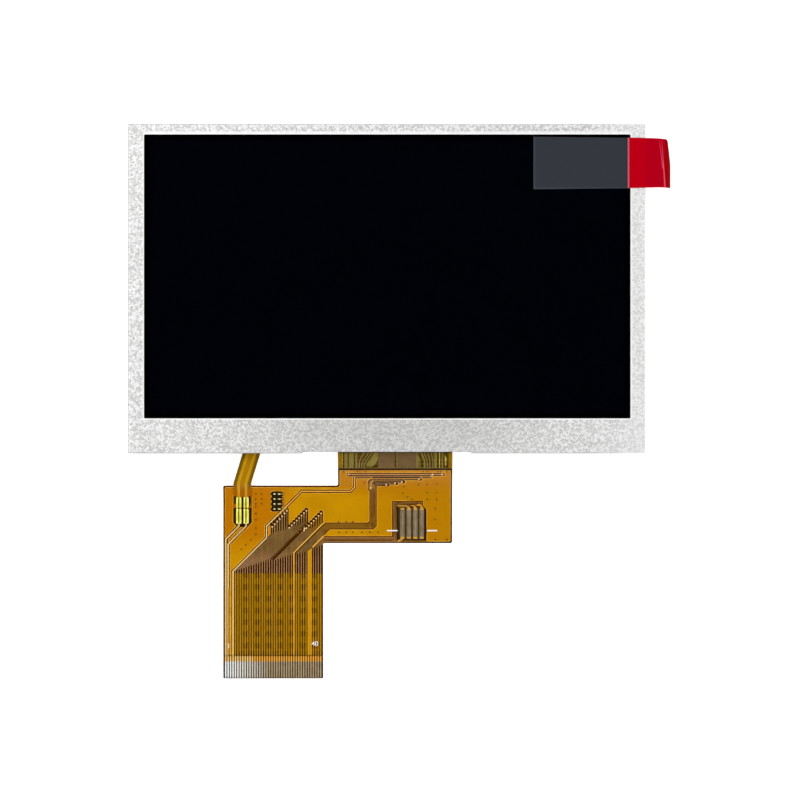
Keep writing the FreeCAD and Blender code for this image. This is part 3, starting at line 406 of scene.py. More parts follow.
# %% Clear tape
tape_low, tape_high = [corner * 1000 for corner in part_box("pull_tab_tape")]
TAPE_EDGE = 0.35
stuck = ((tape_low.x + TAPE_EDGE, tape_low.y + TAPE_EDGE),
         (tape_high.x + 1, tape_high.y + 1), 0.3, "#34373D")
tape = finish("clear_tape_on_black", "#404349", "#3D4046", 4.0, 0.14,
              sockets={"Specular IOR Level": 0.2}, tints=[stuck])
dress(tape, "pull_tab_tape")

# %% [markdown]
# The grip is red polyester film, folded up over the bezel and curling down past its edge. The solid
# has the curl in a few flat steps, so the piece is lofted again here on the same path, finely: for
# each step along the path, a row of points from the lower edge to the upper edge. Its far upper corner
# is cut back and rounded, so the upper edge is a function of how far along the row is.

# %% Path and outline of the grip
grip_low, grip_high = [corner * 1000 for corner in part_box("pull_tab_grip")]
GRIP_FILM = 0.1
STEP_RADIUS = 0.2
STEP_ANGLE = math.radians(30)
CURL_RADIUS = 4.0
GRIP_NARROWS = 0.023
CUT_BACK = 0.75
CUT_BACK_HEIGHT = 5.8
CORNER_ROUND = 0.8
tape_top = tape_high.z
bezel_top = grip_high.z - GRIP_FILM
curl_start = grip_high.x - CURL_RADIUS * math.sin(math.acos(1 - (bezel_top - grip_low.z) / CURL_RADIUS))


def grip_path():
    """Points (x, z, slope) along the underside of the grip, in millimetres."""
    points = [(grip_low.x, tape_top, 0.0)]
    x = grip_low.x + 0.1
    climb = bezel_top - tape_top
    ramp = (climb - 2 * STEP_RADIUS * (1 - math.cos(STEP_ANGLE))) / math.sin(STEP_ANGLE)
    for k in range(5):
        a = STEP_ANGLE * k / 4
        points.append((x + STEP_RADIUS * math.sin(a), tape_top + STEP_RADIUS * (1 - math.cos(a)), a))
    top_x = x + 2 * STEP_RADIUS * math.sin(STEP_ANGLE) + ramp * math.cos(STEP_ANGLE)
    for k in range(4, -1, -1):
        a = STEP_ANGLE * k / 4
        points.append((top_x - STEP_RADIUS * math.sin(a), bezel_top - STEP_RADIUS * (1 - math.cos(a)), a))
    for k in range(1, 9):
        points.append((top_x + (curl_start - top_x) * k / 8, bezel_top, 0.0))
    end_angle = math.asin((grip_high.x - curl_start) / (CURL_RADIUS + GRIP_FILM))
    for k in range(1, 33):
        a = end_angle * k / 32
        points.append((curl_start + CURL_RADIUS * math.sin(a),
                       bezel_top - CURL_RADIUS * (1 - math.cos(a)), -a))
    return points


def upper_edge(x):
    """The upper edge of the grip at a place along it, in millimetres."""
    straight = grip_high.y - (x - grip_low.x) * GRIP_NARROWS
    bend = grip_high.x - CUT_BACK
    slope = CUT_BACK_HEIGHT / CUT_BACK
    blend = (x - bend) * slope
    return straight - (blend + math.hypot(blend, CORNER_ROUND)) / 2


def loft_grip():
    """The grip as a thin closed sheet along its path."""
    across = 16
    mesh = bmesh.new()
    rows = []
    for x, z, slope in grip_path():
        low_y = grip_low.y + (x - grip_low.x) * GRIP_NARROWS
        high_y = upper_edge(x)
        sides = []
        for lift in (0, GRIP_FILM):
            px = x - math.sin(slope) * lift
            pz = z + math.cos(slope) * lift
            ys = [low_y + (high_y - low_y) * j / across for j in range(across + 1)]
            sides.append([mesh.verts.new(Vector((px, y, pz)) * MM) for y in ys])
        rows.append(sides)
    for (low_a, top_a), (low_b, top_b) in zip(rows, rows[1:]):
        for j in range(across):
            mesh.faces.new((top_a[j], top_b[j], top_b[j + 1], top_a[j + 1]))
            mesh.faces.new((low_a[j], low_a[j + 1], low_b[j + 1], low_b[j]))
        mesh.faces.new((low_a[0], low_b[0], top_b[0], top_a[0]))
        mesh.faces.new((top_a[-1], top_b[-1], low_b[-1], low_a[-1]))
    for (low, top), turned in ((rows[0], False), (rows[-1], True)):
        for j in range(across):
            corners = (low[j], top[j], top[j + 1], low[j + 1])
            mesh.faces.new(corners[::-1] if turned else corners)
    return mesh


print("the curl starts at x =", round(curl_start, 2), "mm")

# %% [markdown]
# Dyed polyester is clear and deep in colour: over the steel it is lit from behind and looks bright,
# and towards the end of the curl, which turns away from the light, a painted shade makes it darker.
# Two pale lines across the start of the curl are painted highlights, where the bend catches the
# light. The very end on the tape has a pale painted highlight along it too.

# %% Red polyester, its painted shade and highlights
CURL_HIGHLIGHTS = (((55.35, 30.55), (55.95, 27.5), (56.25, 24.5), 0.10, 0.16),
           ((55.98, 30.4), (56.42, 25.5), (56.76, 20.72), 0.10, 0.36))
RED_OVER_STEEL = 52.6
RED_CURL_SHADE_FROM = 56.75
TAB_END_HIGHLIGHT = 0.28
# Brighter over the steel, a painted shade at the end of the curl, and a painted highlight along the end on
# the tape.
red_tints_and_painted_light = [((0, 0), (RED_OVER_STEEL, 60), 0.6, "#B60015"),
             ((RED_CURL_SHADE_FROM, 0), (80, 60), 0.5, "#920004"),
             ((0, 0), (grip_low.x + TAB_END_HIGHLIGHT, 60), 0.1, "#B8606C")]
red_film = finish("red_polyester_film", "#B00019", "#AC0018", 5.0, 0.12,
                  sockets={"Specular IOR Level": 0.006}, tints=red_tints_and_painted_light)
grip_mesh = loft_grip()
grip_surface = BVHTree.FromBMesh(grip_mesh)
new_piece("red_grip", grip_mesh, red_film, "pull_tab_grip", smooth=True)

# The two pale lines are painted highlights, laid just over the curl's surface.
curl_highlight = finish("painted_curl_highlight", "#E0435F", "#D43A58", 1.5, 0.3,
                      sockets={"Specular IOR Level": 0.2})
curl_highlight_mesh = bmesh.new()
for start, middle, end, start_width, end_width in CURL_HIGHLIGHTS:
    last = None
    for k in range(25):
        t = k / 24
        points = [Vector(p) for p in (start, middle, end)]
        centre = points[0] * (1 - t) ** 2 + points[1] * 2 * t * (1 - t) + points[2] * t ** 2
        width = (start_width + (end_width - start_width) * t) * math.sin(math.pi * min(1, 0.12 + t * 1.2) / 2)
        row = []
        for side in (-1, -0.33, 0.33, 1):
            x = (centre.x + side * width / 2) * MM
            hit = grip_surface.ray_cast(Vector((x, centre.y * MM, 0.01)), Vector((0, 0, -1)))[0]
            row.append(curl_highlight_mesh.verts.new(hit + Vector((0, 0, 0.006 * MM))))
        if last:
            for j in range(3):
                curl_highlight_mesh.faces.new((last[j], row[j], row[j + 1], last[j + 1]))
        last = row
curl_highlight_mesh.normal_update()
for face in curl_highlight_mesh.faces:
    if face.normal.z < 0:
        face.normal_flip()
new_piece("grip_curl_highlights", curl_highlight_mesh, curl_highlight)

# %% [markdown]
# The fine things on the flex circuit are drawn flat, in millimetres, and then laid on it. The film
# dips in a long S from the ledge of the glass down to the bench, so a shape that crosses the dip is
# first cut into narrow slices, and then each of its points drops onto the film below it. A ray cast
# down onto the film's own mesh finds the height.

# %% Helpers for laying shapes on the film
DIP = (-44.0, -33.0)
SLICE = 0.4
FROM_ABOVE = 0.02


def surface_of(node_name):
    """A tree that answers where a ray meets a CAD node."""
    mesh = bmesh.new()
    mesh.from_mesh(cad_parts[node_name].data)
    tree = BVHTree.FromBMesh(mesh)
    mesh.free()
    return tree


def flat_shapes(outlines_mm):
    """Flat faces from outlines in millimetres, all facing up."""
    mesh = bmesh.new()
    for outline in outlines_mm:
        mesh.faces.new([mesh.verts.new((x * MM, y * MM, 0)) for x, y in outline])
    mesh.normal_update()
    for face in mesh.faces:
        if face.normal.z < 0:
            face.normal_flip()
    return mesh


def lay_on(surface, mesh, lift_mm):
    """Drops the points of flat shapes onto a surface, and lifts them a little above it."""
    y = DIP[0]
    while y < DIP[1]:
        geometry = mesh.verts[:] + mesh.edges[:] + mesh.faces[:]
        bmesh.ops.bisect_plane(mesh, geom=geometry, plane_co=(0, y * MM, 0), plane_no=(0, 1, 0))
        y += SLICE
    for vert in mesh.verts:
        hit = surface.ray_cast(Vector((vert.co.x, vert.co.y, FROM_ABOVE)), Vector((0, 0, -1)))[0]
        if hit is None:
            hit = surface.find_nearest(Vector((vert.co.x, vert.co.y, 0)))[0]
        vert.co.z = hit.z + lift_mm * MM
    return mesh


def lay_piece(name, surface, outlines_mm, lift_mm, material, stands_for=None):
    """Lays flat shapes on a surface, as a piece of their own."""
    new_piece(name, lay_on(surface, flat_shapes(outlines_mm), lift_mm), material, stands_for)


def block(x0, x1, y0, y1):
    """The outline of a rectangle."""
    return [(x0, y0), (x1, y0), (x1, y1), (x0, y1)]


def spot(x, y, radius, sides=12):
    """The outline of a small round spot."""
    return [(x + radius * math.cos(math.tau * k / sides), y + radius * math.sin(math.tau * k / sides))
            for k in range(sides)]


def line(points, width):
    """The outline of a line of even width through points, mitred at its corners."""
    places = [Vector(p) for p in points]
    alongs = [(b - a).normalized() for a, b in zip(places, places[1:])]
    left, right = [], []
    for k, here in enumerate(places):
        before = alongs[max(k - 1, 0)]
        after = alongs[min(k, len(alongs) - 1)]
        mitre = (before + after).normalized()
        side = Vector((-mitre.y, mitre.x)) * (width / 2 / max(mitre.dot(after), 0.3))
        left.append(tuple(here + side))
        right.append(tuple(here - side))
    return left + right[::-1]


def eased(points):
    """The same line with its corners cut twice, so that it turns in a curve."""
    for _ in range(2):
        cut = [points[0]]
        for a, b in zip(points, points[1:]):
            cut.append((a[0] * 0.75 + b[0] * 0.25, a[1] * 0.75 + b[1] * 0.25))
            cut.append((a[0] * 0.25 + b[0] * 0.75, a[1] * 0.25 + b[1] * 0.75))
        points = cut + [points[-1]]
    return points


base_surface = surface_of("flex_film")
cover_surface = surface_of("flex_cover_film")
film_rest = base_surface.ray_cast(Vector((0, -0.048, FROM_ABOVE)), Vector((0, 0, -1)))[0]
print("the film's top lies", round(film_rest.z * 1000, 3), "mm above the bench")

# %% [markdown]
# The flex circuit is polyimide film, an amber plastic, with etched copper on it and an amber cover
# film glued on top. Bare film looks dark brown from above, because there the light goes down through
# it and is lost. From behind, the ground copper shines through it, so the underside looks amber: the
# direction that the surface faces decides between the two.

# %% Base film
FILM_SHEEN = {"Specular IOR Level": 0.25}


def film_finish(name, light, dark, grain_mm, roughness=0.2, tints=()):
    """The finish of a film, or of something seen through one, with the sheen of polyimide."""
    return finish(name, light, dark, grain_mm, roughness, sockets=FILM_SHEEN, tints=tints)


base_film, tree, shader = grained("polyimide_base_film", "#2A0602", "#1E0401", 1.2, 0.2,
                                  sockets=FILM_SHEEN)
facing = add_node(tree, "ShaderNodeSeparateXYZ",
                  {0: add_node(tree, "ShaderNodeTexCoord").outputs["Normal"]}).outputs["Z"]
under = add_node(tree, "ShaderNodeMapRange", {"Value": facing, "From Min": -0.2, "From Max": -0.6})
tint(tree, shader, under.outputs[0], "#B4780E")
dress(base_film, "flex_film")

# %% [markdown]
# Ground copper fills the flex wherever there is no track. Through the amber films it looks like old
# gold, with redder tints on the left and deeper ones on the right. Between the tracks that turn off
# below the neck, hardly any light comes back out of it.

# %% Ground copper under the films
SHADED_LANES = (((-3.3, -39.1), (6.9, -38.6)), ((-3.3, -40.3), (0.3, -38.8)), ((0.2, -39.6), (3.4, -38.8)))
POUR_TINTS = (((-60, -52.5), (-21, -30), 4.5, "#B97203"),
              ((-1, -60), (40, -30), 9.0, "#B67B04"),
              ((-11, -41.5), (14, -36), 2.5, "#B67602"))
shaded = [(low, high, 0.2, "#6A4014") for low, high in SHADED_LANES]
pour = finish("copper_pour_under_film", "#C88F05", "#BE8605", 7.0, 0.16,
              sockets={"Specular IOR Level": 0.14}, tints=[*POUR_TINTS, *shaded])
dress(pour, "flex_ground_copper")

# %% [markdown]
# Below the row of slanting turns, the tracks run over a hatched sheet of copper on the back of the
# film. It shows through as olive where it is whole and as brown at its square openings. The hatch is
# regular, so a remainder after division says how far a place is from the middle of an opening. No
# two tracks have quite the same glue over them, so a noise that is drawn out along the tail, to
# thirty times its width, makes some of them paler than their neighbours.

# %% Tracks, and how the hatch shows through them
HATCH_STEP = (2.35, 2.41)
HATCH_FIRST = (2.35, 0.42)
HATCH_OPENING = 1.15
STREAK_WIDTH = 0.45
STREAK_LENGTH = 30
rear_low, rear_high = [corner * 1000 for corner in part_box("flex_rear_ground")]


def hatch_openings(tree):
    """A number that is 1 over an opening of the hatch and 0 between them."""
    place = add_node(tree, "ShaderNodeTexCoord").outputs["Object"]
    corner = Vector((rear_low.x + HATCH_FIRST[0] - HATCH_STEP[0] / 2,
                     rear_high.y - HATCH_FIRST[1] - HATCH_STEP[1] * 7.5, 0)) * MM
    step = Vector((*HATCH_STEP, 1000)) * MM
    from_corner = add_node(tree, "ShaderNodeVectorMath", {0: place, 1: corner},
                           operation="SUBTRACT").outputs[0]
    within = add_node(tree, "ShaderNodeVectorMath", {0: from_corner, 1: step}, operation="MODULO").outputs[0]
    offset = add_node(tree, "ShaderNodeVectorMath", {0: within, 1: step / 2}, operation="SUBTRACT").outputs[0]
    away = add_node(tree, "ShaderNodeVectorMath", {0: offset}, operation="ABSOLUTE").outputs[0]
    half = HATCH_OPENING / 2 * MM
    soft = 0.15 * MM
    share = add_node(tree, "ShaderNodeMapRange",
                     {"Vector": away, "From Min": (half + soft,) * 3, "From Max": (half - soft,) * 3},
                     data_type="FLOAT_VECTOR").outputs["Vector"]
    sides = add_node(tree, "ShaderNodeSeparateXYZ", {0: share}).outputs
    both = add_node(tree, "ShaderNodeMath", {0: sides["X"], 1: sides["Y"]}, operation="MULTIPLY").outputs[0]
    whole = inside(tree, (corner.x * 1000, corner.y * 1000), (rear_high.x, rear_high.y), 0.1)
    return add_node(tree, "ShaderNodeMath", {0: both, 1: whole}, operation="MULTIPLY").outputs[0]


over_rear_copper = ((rear_low.x, rear_low.y - 1), (rear_high.x, rear_high.y), 0.4)
TRACK_TINTS = (((-16, -50.4), (0, -44), 3.0, "#9A6C16"),
               ((-13.5, -60), (3, -50.4), 0.8, "#AC7A44"),
               ((-12, -45), (20, -36), 3.0, "#9C6A30"),
               ((-12, -38.3), (14, -37), 0.1, "#B4804E"),
               ((-3.3, -40.6), (6.9, -38.7), 0.15, "#865E2C"),
               ((-32, rear_high.y - 1), (-12, -54.6), 2.4, "#A27A56"),
               (*over_rear_copper, "#B48808"))
LEFT_OF_HATCH = ((-40, -90), (rear_low.x, -48), 0.1, "#D8983A")
track_copper, tree, shader = grained("copper_tracks_under_film", "#8C6E40", "#7A5E34", 3.0, 0.2,
                                     sockets={"Specular IOR Level": 0.3})
tint_regions(tree, shader, TRACK_TINTS)
darker = add_node(tree, "ShaderNodeMath", {0: hatch_openings(tree), 1: 0.35}, operation="MULTIPLY").outputs[0]
tint(tree, shader, darker, "#5A380C")
tint_regions(tree, shader, [LEFT_OF_HATCH])
place = add_node(tree, "ShaderNodeTexCoord").outputs["Object"]
drawn_out = add_node(tree, "ShaderNodeVectorMath", {0: place, 1: (1, 1 / STREAK_LENGTH, 1)},
                     operation="MULTIPLY").outputs[0]
streaks = add_node(tree, "ShaderNodeTexNoise", {"Vector": drawn_out, "Scale": per_metre(STREAK_WIDTH)})
streak = add_node(tree, "ShaderNodeMapRange", {"Value": streaks.outputs["Fac"], "From Min": 0.5,
                                               "From Max": 0.75, "To Max": 0.4})
tint(tree, shader, streak.outputs[0], "#C89A58")
dress(track_copper, "flex_signal_tracks")

# %% [markdown]
# What is seen in the gaps between tracks is the film, and what lies under it. Thin sheets laid just
# above the film, in the gaps' own colours, show that: olive where the rear copper backs the tail,
# with real openings in it, brown where tracks run close together and light leaks in from their edges,
# and almost black in the wells that are open to the solder. Shapes that lie over one another are
# lifted by different thousandths of a millimetre, so that no two of them share a plane and flicker.

# %% Floors of the gaps
FLOOR_LIFT = 0.002
TEST_WELL_LIFT = 0.003
DOT_LIFT = 0.004
STRIPE_LIFT = 0.005
LINE_LIFT = 0.006
OVER_STRIPE_LIFT = 0.007
TOP_DOT_LIFT = 0.009


def top_sheet(node_name):
    """The upward faces of a CAD node, welded into sheets."""
    sheet = bmesh.new()
    sheet.from_mesh(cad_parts[node_name].data)
    bmesh.ops.remove_doubles(sheet, verts=sheet.verts[:], dist=1e-7)
    sheet.normal_update()
    others = [face for face in sheet.faces if face.normal.z < 0.5]
    bmesh.ops.delete(sheet, geom=others, context="FACES")
    return sheet


film_edge = [corner * 1000 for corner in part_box("flex_film")]
rear_floor = top_sheet("flex_rear_ground")
for vert in rear_floor.verts:
    vert.co.z = film_rest.z + FLOOR_LIFT * MM
olive_floor = film_finish("rear_copper_through_film", "#704600", "#603A00", 2.0)
new_piece("rear_copper_glow", rear_floor, olive_floor)

CLOSE_TRACKS = ([(-30.9, -57.6), (-15.2, -53.6), (-12.7, -51.9), (-8.6, -51.9), (-13.2, -49.3),
                 (-22.7, -49.6)],
                [(-16, -49.25), (-2.6, -49.25), (-2.6, -48.0), (-13.8, -48.0)],
                [(-13.4, -52.0), (2.9, -52.0), (2.9, -50.8), (-13.4, -50.8)],
                [(-3.35, -49.2), (-2.2, -49.2), (-2.2, -40.0), (-3.35, -40.0)],
                [(1.2, -51.0), (2.1, -51.0), (2.1, -43.7), (1.2, -43.7)])
brown_floor = film_finish("film_between_close_tracks", "#583814", "#4A2E10", 1.5)
lay_piece("close_track_floor", base_surface, CLOSE_TRACKS, FLOOR_LIFT, brown_floor)

solder_low, solder_high = [corner * 1000 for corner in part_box("solder_pads")]
touch_low, touch_high = [corner * 1000 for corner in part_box("touch_panel_pads")]
test_low, test_high = [corner * 1000 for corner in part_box("test_pads")]
solder_middle = (solder_low.x + solder_high.x) / 2
SOLDER_WELL = [(solder_low.x - 0.5, -44.95), (solder_high.x + 0.5, -44.95),
               (solder_high.x + 0.5, solder_low.y + 0.3), (solder_high.x - 0.1, solder_low.y - 0.75),
               (solder_middle + 0.12, solder_low.y - 0.2), (solder_middle - 0.12, solder_low.y - 0.2),
               (solder_low.x + 0.1, solder_low.y - 0.75), (solder_low.x - 0.5, solder_low.y + 0.3)]
TEST_ROW = 1.03
TEST_LOBE = (-0.38, 0.62)
test_rows = [test_high.y - 0.3 - TEST_ROW * k for k in range(4)]


def lobe(x0, x1, y, height):
    """The outline of a bar with cut corners."""
    cut = height * 0.3
    return [(x0 + cut, y - height / 2), (x1 - cut, y - height / 2), (x1, y - height / 2 + cut),
            (x1, y + height / 2 - cut), (x1 - cut, y + height / 2), (x0 + cut, y + height / 2),
            (x0, y + height / 2 - cut), (x0, y - height / 2 + cut)]


test_lobes = [lobe(test_low.x + TEST_LOBE[0], test_high.x + (TEST_LOBE[1] if k < 3 else 0.2), y, 0.84)
              for k, y in enumerate(test_rows)]
test_core = block(test_low.x - 0.12, test_high.x - 0.02, test_rows[-1], test_rows[0])
well_black = film_finish("flux_stained_film", "#2C2002", "#1C1200", 0.8, 0.3)
lay_piece("solder_well", base_surface, [SOLDER_WELL], FLOOR_LIFT, well_black)
lay_piece("test_well", cover_surface, [test_core, *test_lobes], TEST_WELL_LIFT, well_black)
strip_surface = surface_of("led_flex")
STRIP_WELL = [block(solder_low.x - 0.42, solder_low.x + 0.02, -44.9, -42.45),
              block(solder_middle - 0.2, solder_middle + 0.2, -44.9, -42.6),
              block(solder_high.x - 0.02, solder_high.x + 0.42, -44.9, -42.45)]
lay_piece("solder_well_on_strip", strip_surface, STRIP_WELL, FLOOR_LIFT, well_black)

# %% [markdown]
# Etched copper has a sloping edge, and the cover film follows it down. Beside each gap a painted
# highlight, a fine pale line, stands for the light that the slope catches, and a painted shade lies at
# its foot as a dark one. Both are narrow bands that follow the edges of the copper's own top face. The
# script walks round every edge of that face, steps inwards at each corner along the line that halves
# it, and joins the steps into a band.

# %% Painted shade and highlights along the edges of the copper
DARK_EDGE = 0.13
BRIGHT_EDGE = 0.11
BAND_LIFT = 0.003
SHARPEST_MITRE = 0.6


def edge_band(sheet, away_mm, width_mm):
    """A band of even width along the edges of flat sheets, some way in from them."""
    after, before, slope = {}, {}, {}
    for face in sheet.faces:
        for corner in face.loops:
            if corner.edge.is_boundary:
                here, there = corner.vert, corner.link_loop_next.vert
                after[here] = (there.co - here.co).normalized()
                before[there] = after[here]
                slope[here] = face.normal.copy()
    band = bmesh.new()
    rails = {}
    for vert in after:
        if vert not in before:
            continue
        mitre = (before[vert] + after[vert]).normalized()
        inward = slope[vert].cross(mitre) / max(mitre.dot(after[vert]), SHARPEST_MITRE)
        lift = slope[vert] * BAND_LIFT * MM
        steps = (away_mm, away_mm + width_mm)
        rails[vert] = [band.verts.new(vert.co + lift + inward * step * MM) for step in steps]
    for face in sheet.faces:
        for corner in face.loops:
            here, there = corner.vert, corner.link_loop_next.vert
            if corner.edge.is_boundary and here in rails and there in rails:
                band.faces.new((rails[here][0], rails[there][0], rails[there][1], rails[here][1]))
    sheet.free()
    return band


def islands(sheet):
    """The separate sheets of a mesh, each as a list of its faces."""
    waiting = set(sheet.faces)
    found = []
    while waiting:
        todo = [waiting.pop()]
        island = []
        while todo:
            face = todo.pop()
            island.append(face)
            near = {other for vert in face.verts for other in vert.link_faces} & waiting
            waiting -= near
            todo += near
        found.append(island)
    return found


def keep_only(mesh, wanted):
    """Deletes the faces of a mesh that a test turns down."""
    unwanted = [face for face in mesh.faces if not wanted(face)]
    bmesh.ops.delete(mesh, geom=unwanted, context="FACES")
    return mesh


TAIL_TOP = -50.0
LONG_RUN = 5.0
UPRIGHT = 1.0


def down_the_tail(face):
    """Whether a piece of a band follows one of the long straight runs of the tail."""
    xs, ys = zip(*[(vert.co / MM)[:2] for vert in face.verts])
    return max(ys) < TAIL_TOP and max(ys) - min(ys) > LONG_RUN and max(xs) - min(xs) < UPRIGHT


def elsewhere(face):
    """Whether a piece of a band follows anything else."""
    return not down_the_tail(face)


painted_gap_shade = film_finish("painted_shade_in_copper_gap", "#3A0800", "#2C0600", 1.5,
                         tints=[(*over_rear_copper, "#7E5608")])
painted_edge_highlight = film_finish("painted_highlight_on_copper_edge", "#F2B644", "#DA9424", 2.2)
gap_shade_bands = keep_only(edge_band(top_sheet("flex_ground_copper"), 0, DARK_EDGE), elsewhere)
new_piece("ground_edge_shade", gap_shade_bands, painted_gap_shade)
edge_highlight_bands = keep_only(edge_band(top_sheet("flex_ground_copper"), DARK_EDGE, BRIGHT_EDGE), elsewhere)
new_piece("ground_edge_highlights", edge_highlight_bands, painted_edge_highlight)

# %% [markdown]
# Down the tail the lanes are wider than the copper in them. There the tracks have the painted shade
# along their edges, and the two strips of ground copper among them have the painted highlight right
# up to theirs.

# %% Edges down the tail
TRACK_DARK_EDGE = 0.07
tail_shade_bands = keep_only(edge_band(top_sheet("flex_signal_tracks"), 0, TRACK_DARK_EDGE), down_the_tail)
new_piece("tail_edge_shade", tail_shade_bands, painted_gap_shade)
tail_highlight_bands = keep_only(edge_band(top_sheet("flex_ground_copper"), 0, BRIGHT_EDGE), down_the_tail)
new_piece("tail_edge_highlights", tail_highlight_bands, painted_edge_highlight)

# %% [markdown]
# The two feed tracks of the backlight and the guard track beside them are wide, so their own edges
# get the painted highlight too. They are the first three tracks of the tail from the left. Across the
# neck the guard track lies flat under thicker glue and stays dull, so its band stops there. Between
# the feed tracks and the strip of ground copper beside them the film glows amber, because the gap is
# narrow. The two strips of ground copper in the tail run on up two of the slanting lanes as fine bright
# threads, in the same painted highlight.

# %% Painted highlights on the edges of the feed and guard tracks
BRIGHT_UNTIL_X = -6.0
FEED_TRACKS_FROM = -31.4
PALE_EDGE = 0.1
shining = top_sheet("flex_signal_tracks")
dull = [face for island in islands(shining) for face in island
        if min(vert.co.x for member in island for vert in member.verts) > FEED_TRACKS_FROM * MM]
bmesh.ops.delete(shining, geom=dull, context="FACES")
shining = edge_band(shining, 0, PALE_EDGE)
keep_only(shining, lambda face: face.calc_center_median().x < BRIGHT_UNTIL_X * MM)
for vert in shining.verts:
    vert.co.z += BAND_LIFT * MM
painted_track_edge_highlight = film_finish("painted_highlight_on_wide_track_edge", "#FFC45C", "#F2AE44", 1.8, tints=[
    ((-40, -90), (-22, -30), 6.0, "#FFDC90")])
new_piece("feed_track_edge_highlights", shining, painted_track_edge_highlight)
GROUND_THREADS = ([(-19.1, -54.4), (-19.1, -54.05), (-13.05, -48.0)], [(-15.3, -52.96), (-12.95, -50.61)])
THREAD_WIDTH = 0.21
threads = [line(points, THREAD_WIDTH) for points in GROUND_THREADS]
lay_piece("ground_threads", cover_surface, threads, STRIPE_LIFT, painted_track_edge_highlight)
AMBER_GAP = (-32.58, -32.3)
AMBER_GAP_ENDS = (-75.3, -61.5)
amber_gap = film_finish("film_in_narrow_gap", "#B88218", "#A87410", 1.5)
lay_piece("amber_gap", cover_surface, [block(*AMBER_GAP, *AMBER_GAP_ENDS)], FLOOR_LIFT, amber_gap)

# %% [markdown]
# The cover film is clear amber, and most of its colour is already in what lies below it. A thin sheet
# with a little amber of its own gives the flex circuit one even gloss. The solid's underside lies
# exactly on the copper, and two faces in one plane flicker, so this sheet is thinner and stays clear.

# %% Cover film
COVER_THICKNESS = 0.018
cover_film = finish("polyimide_cover_film", "#C98A10", "#B87A08", 3.0, 0.14,
                    sockets={"Alpha": 0.015, "Specular IOR Level": 0.3})
cover_sheet = top_sheet("flex_cover_film")
bmesh.ops.solidify(cover_sheet, geom=cover_sheet.faces[:], thickness=COVER_THICKNESS * MM)
new_piece("cover_film_sheet", cover_sheet, cover_film, "flex_cover_film")

# %% [markdown]
# Across the neck the copper fans in towards the driver chip: bars at both sides, then curves that
# lean inwards, then two plain fields. The solid has them in plain straight strokes. Here each is
# drawn again as it looks, as a line or an outline in millimetres, with its corners eased into curves,
# and sorted by the tone that it has through the films.

# %% Leads of the neck
NECK_TOP = -33.4
NECK_FOOT = -36.6
LEAD_LIFT = 0.022


def bar(x0, x1):
    """The outline of a lead that runs straight down the neck."""
    return block(x0, x1, NECK_FOOT, NECK_TOP)


def curve(points, width):
    """The outline of a lead that leans in."""
    return line(eased(points), width)


neck_bottom = -36.76
neck_floor = film_finish("film_between_neck_leads", "#54460E", "#463A08", 1.0)
lay_piece("neck_floor", base_surface, [block(-9.98, 13.38, neck_bottom, NECK_TOP)], FLOOR_LIFT, neck_floor)
LEAF = [(-4.18, -36.3), (-4.15, -35.72), (-2.45, NECK_TOP), (-1.85, NECK_TOP), (-1.85, -34.9), (-2.2, -35.6),
        (-2.95, -36.3)]
NECK_TONES = {
    "amber_edge": ("#8E6C06", "#7E5C04", "flex_bond_leads", (
        bar(-9.98, -9.15), bar(12.62, 13.38))),
    "olive_lead": ("#84783A", "#746A2C", None, (
        LEAF, bar(-7.74, -6.76), bar(6.02, 6.5), bar(9.68, 10.24),
        curve([(7.0, NECK_TOP), (7.45, -34.5), (7.72, -35.1), (7.72, NECK_FOOT)], 0.34))),
    "tan_lead": ("#8A7442", "#7A6636", None, (
        bar(-8.66, -8.02), bar(-6.46, -6.0), bar(11.19, 11.52),
        curve([(-5.64, NECK_FOOT), (-5.64, -35.5), (-5.45, -34.9), (-4.6, NECK_TOP)], 0.3),
        curve([(-5.11, NECK_FOOT), (-5.11, -35.7), (-4.8, -35.1), (-3.7, NECK_TOP)], 0.24),
        curve([(-4.62, NECK_FOOT), (-4.62, -35.9), (-4.35, -35.35), (-2.98, NECK_TOP)], 0.24),
        curve([(6.2, NECK_TOP), (6.55, -34.4), (6.76, -34.9), (6.8, NECK_FOOT)], 0.2),
        curve([(7.6, NECK_TOP), (8.0, -34.4), (8.25, -35.0), (8.3, NECK_FOOT)], 0.2),
        curve([(8.3, NECK_TOP), (8.6, -34.3), (8.8, -34.9), (8.83, NECK_FOOT)], 0.24),
        curve([(9.0, NECK_TOP), (9.25, -34.2), (9.4, -34.8), (9.42, NECK_FOOT)], 0.22),
        bar(1.97, 2.2))),
    "grey_field": ("#6E583A", "#645034", None, (
        bar(-1.78, 1.62), bar(2.26, 5.96))),
    "bright_lead": ("#C0AE4A", "#A89638", None, (
        bar(-9.13, -9.02), bar(10.69, 10.88),
        [(11.78, -33.9), (12.24, -34.6), (12.12, -36.2), (11.94, -36.2)])),
}
for tone, (light, dark, stands_for, outlines) in NECK_TONES.items():
    lead_copper = film_finish(tone + "_under_film", light, dark, 1.6)
    lay_piece("neck_" + tone, base_surface, outlines, LEAD_LIFT, lead_copper, stands_for)

# %% [markdown]
# At its foot the neck is darker. A strip of see-through brown over the feet of the leads is a painted
# shade there.

# %% Painted shade at the foot of the neck
NECK_SHADE_TOP = -36.25
neck_foot_shade = finish("painted_shade_at_neck_foot", "#3C2400", "#301C00", 1.0, 0.2, sockets={"Alpha": 0.5})
lay_piece("neck_foot_shade_strip", cover_surface, [block(-9.98, 13.38, neck_bottom, NECK_SHADE_TOP)], DOT_LIFT, neck_foot_shade)

# %% [markdown]
# The bare contacts are copper plated with nickel and a flash of gold: silvery on the left, where a
# painted reflection of the tent lies on them, browner towards the other side, each with a painted
# shade along its edge and with dark film past its tip. Just above them each lead runs on for a
# millimetre under the edge of the cover film, and shows there as a bright gold stripe between
# red-brown gaps.

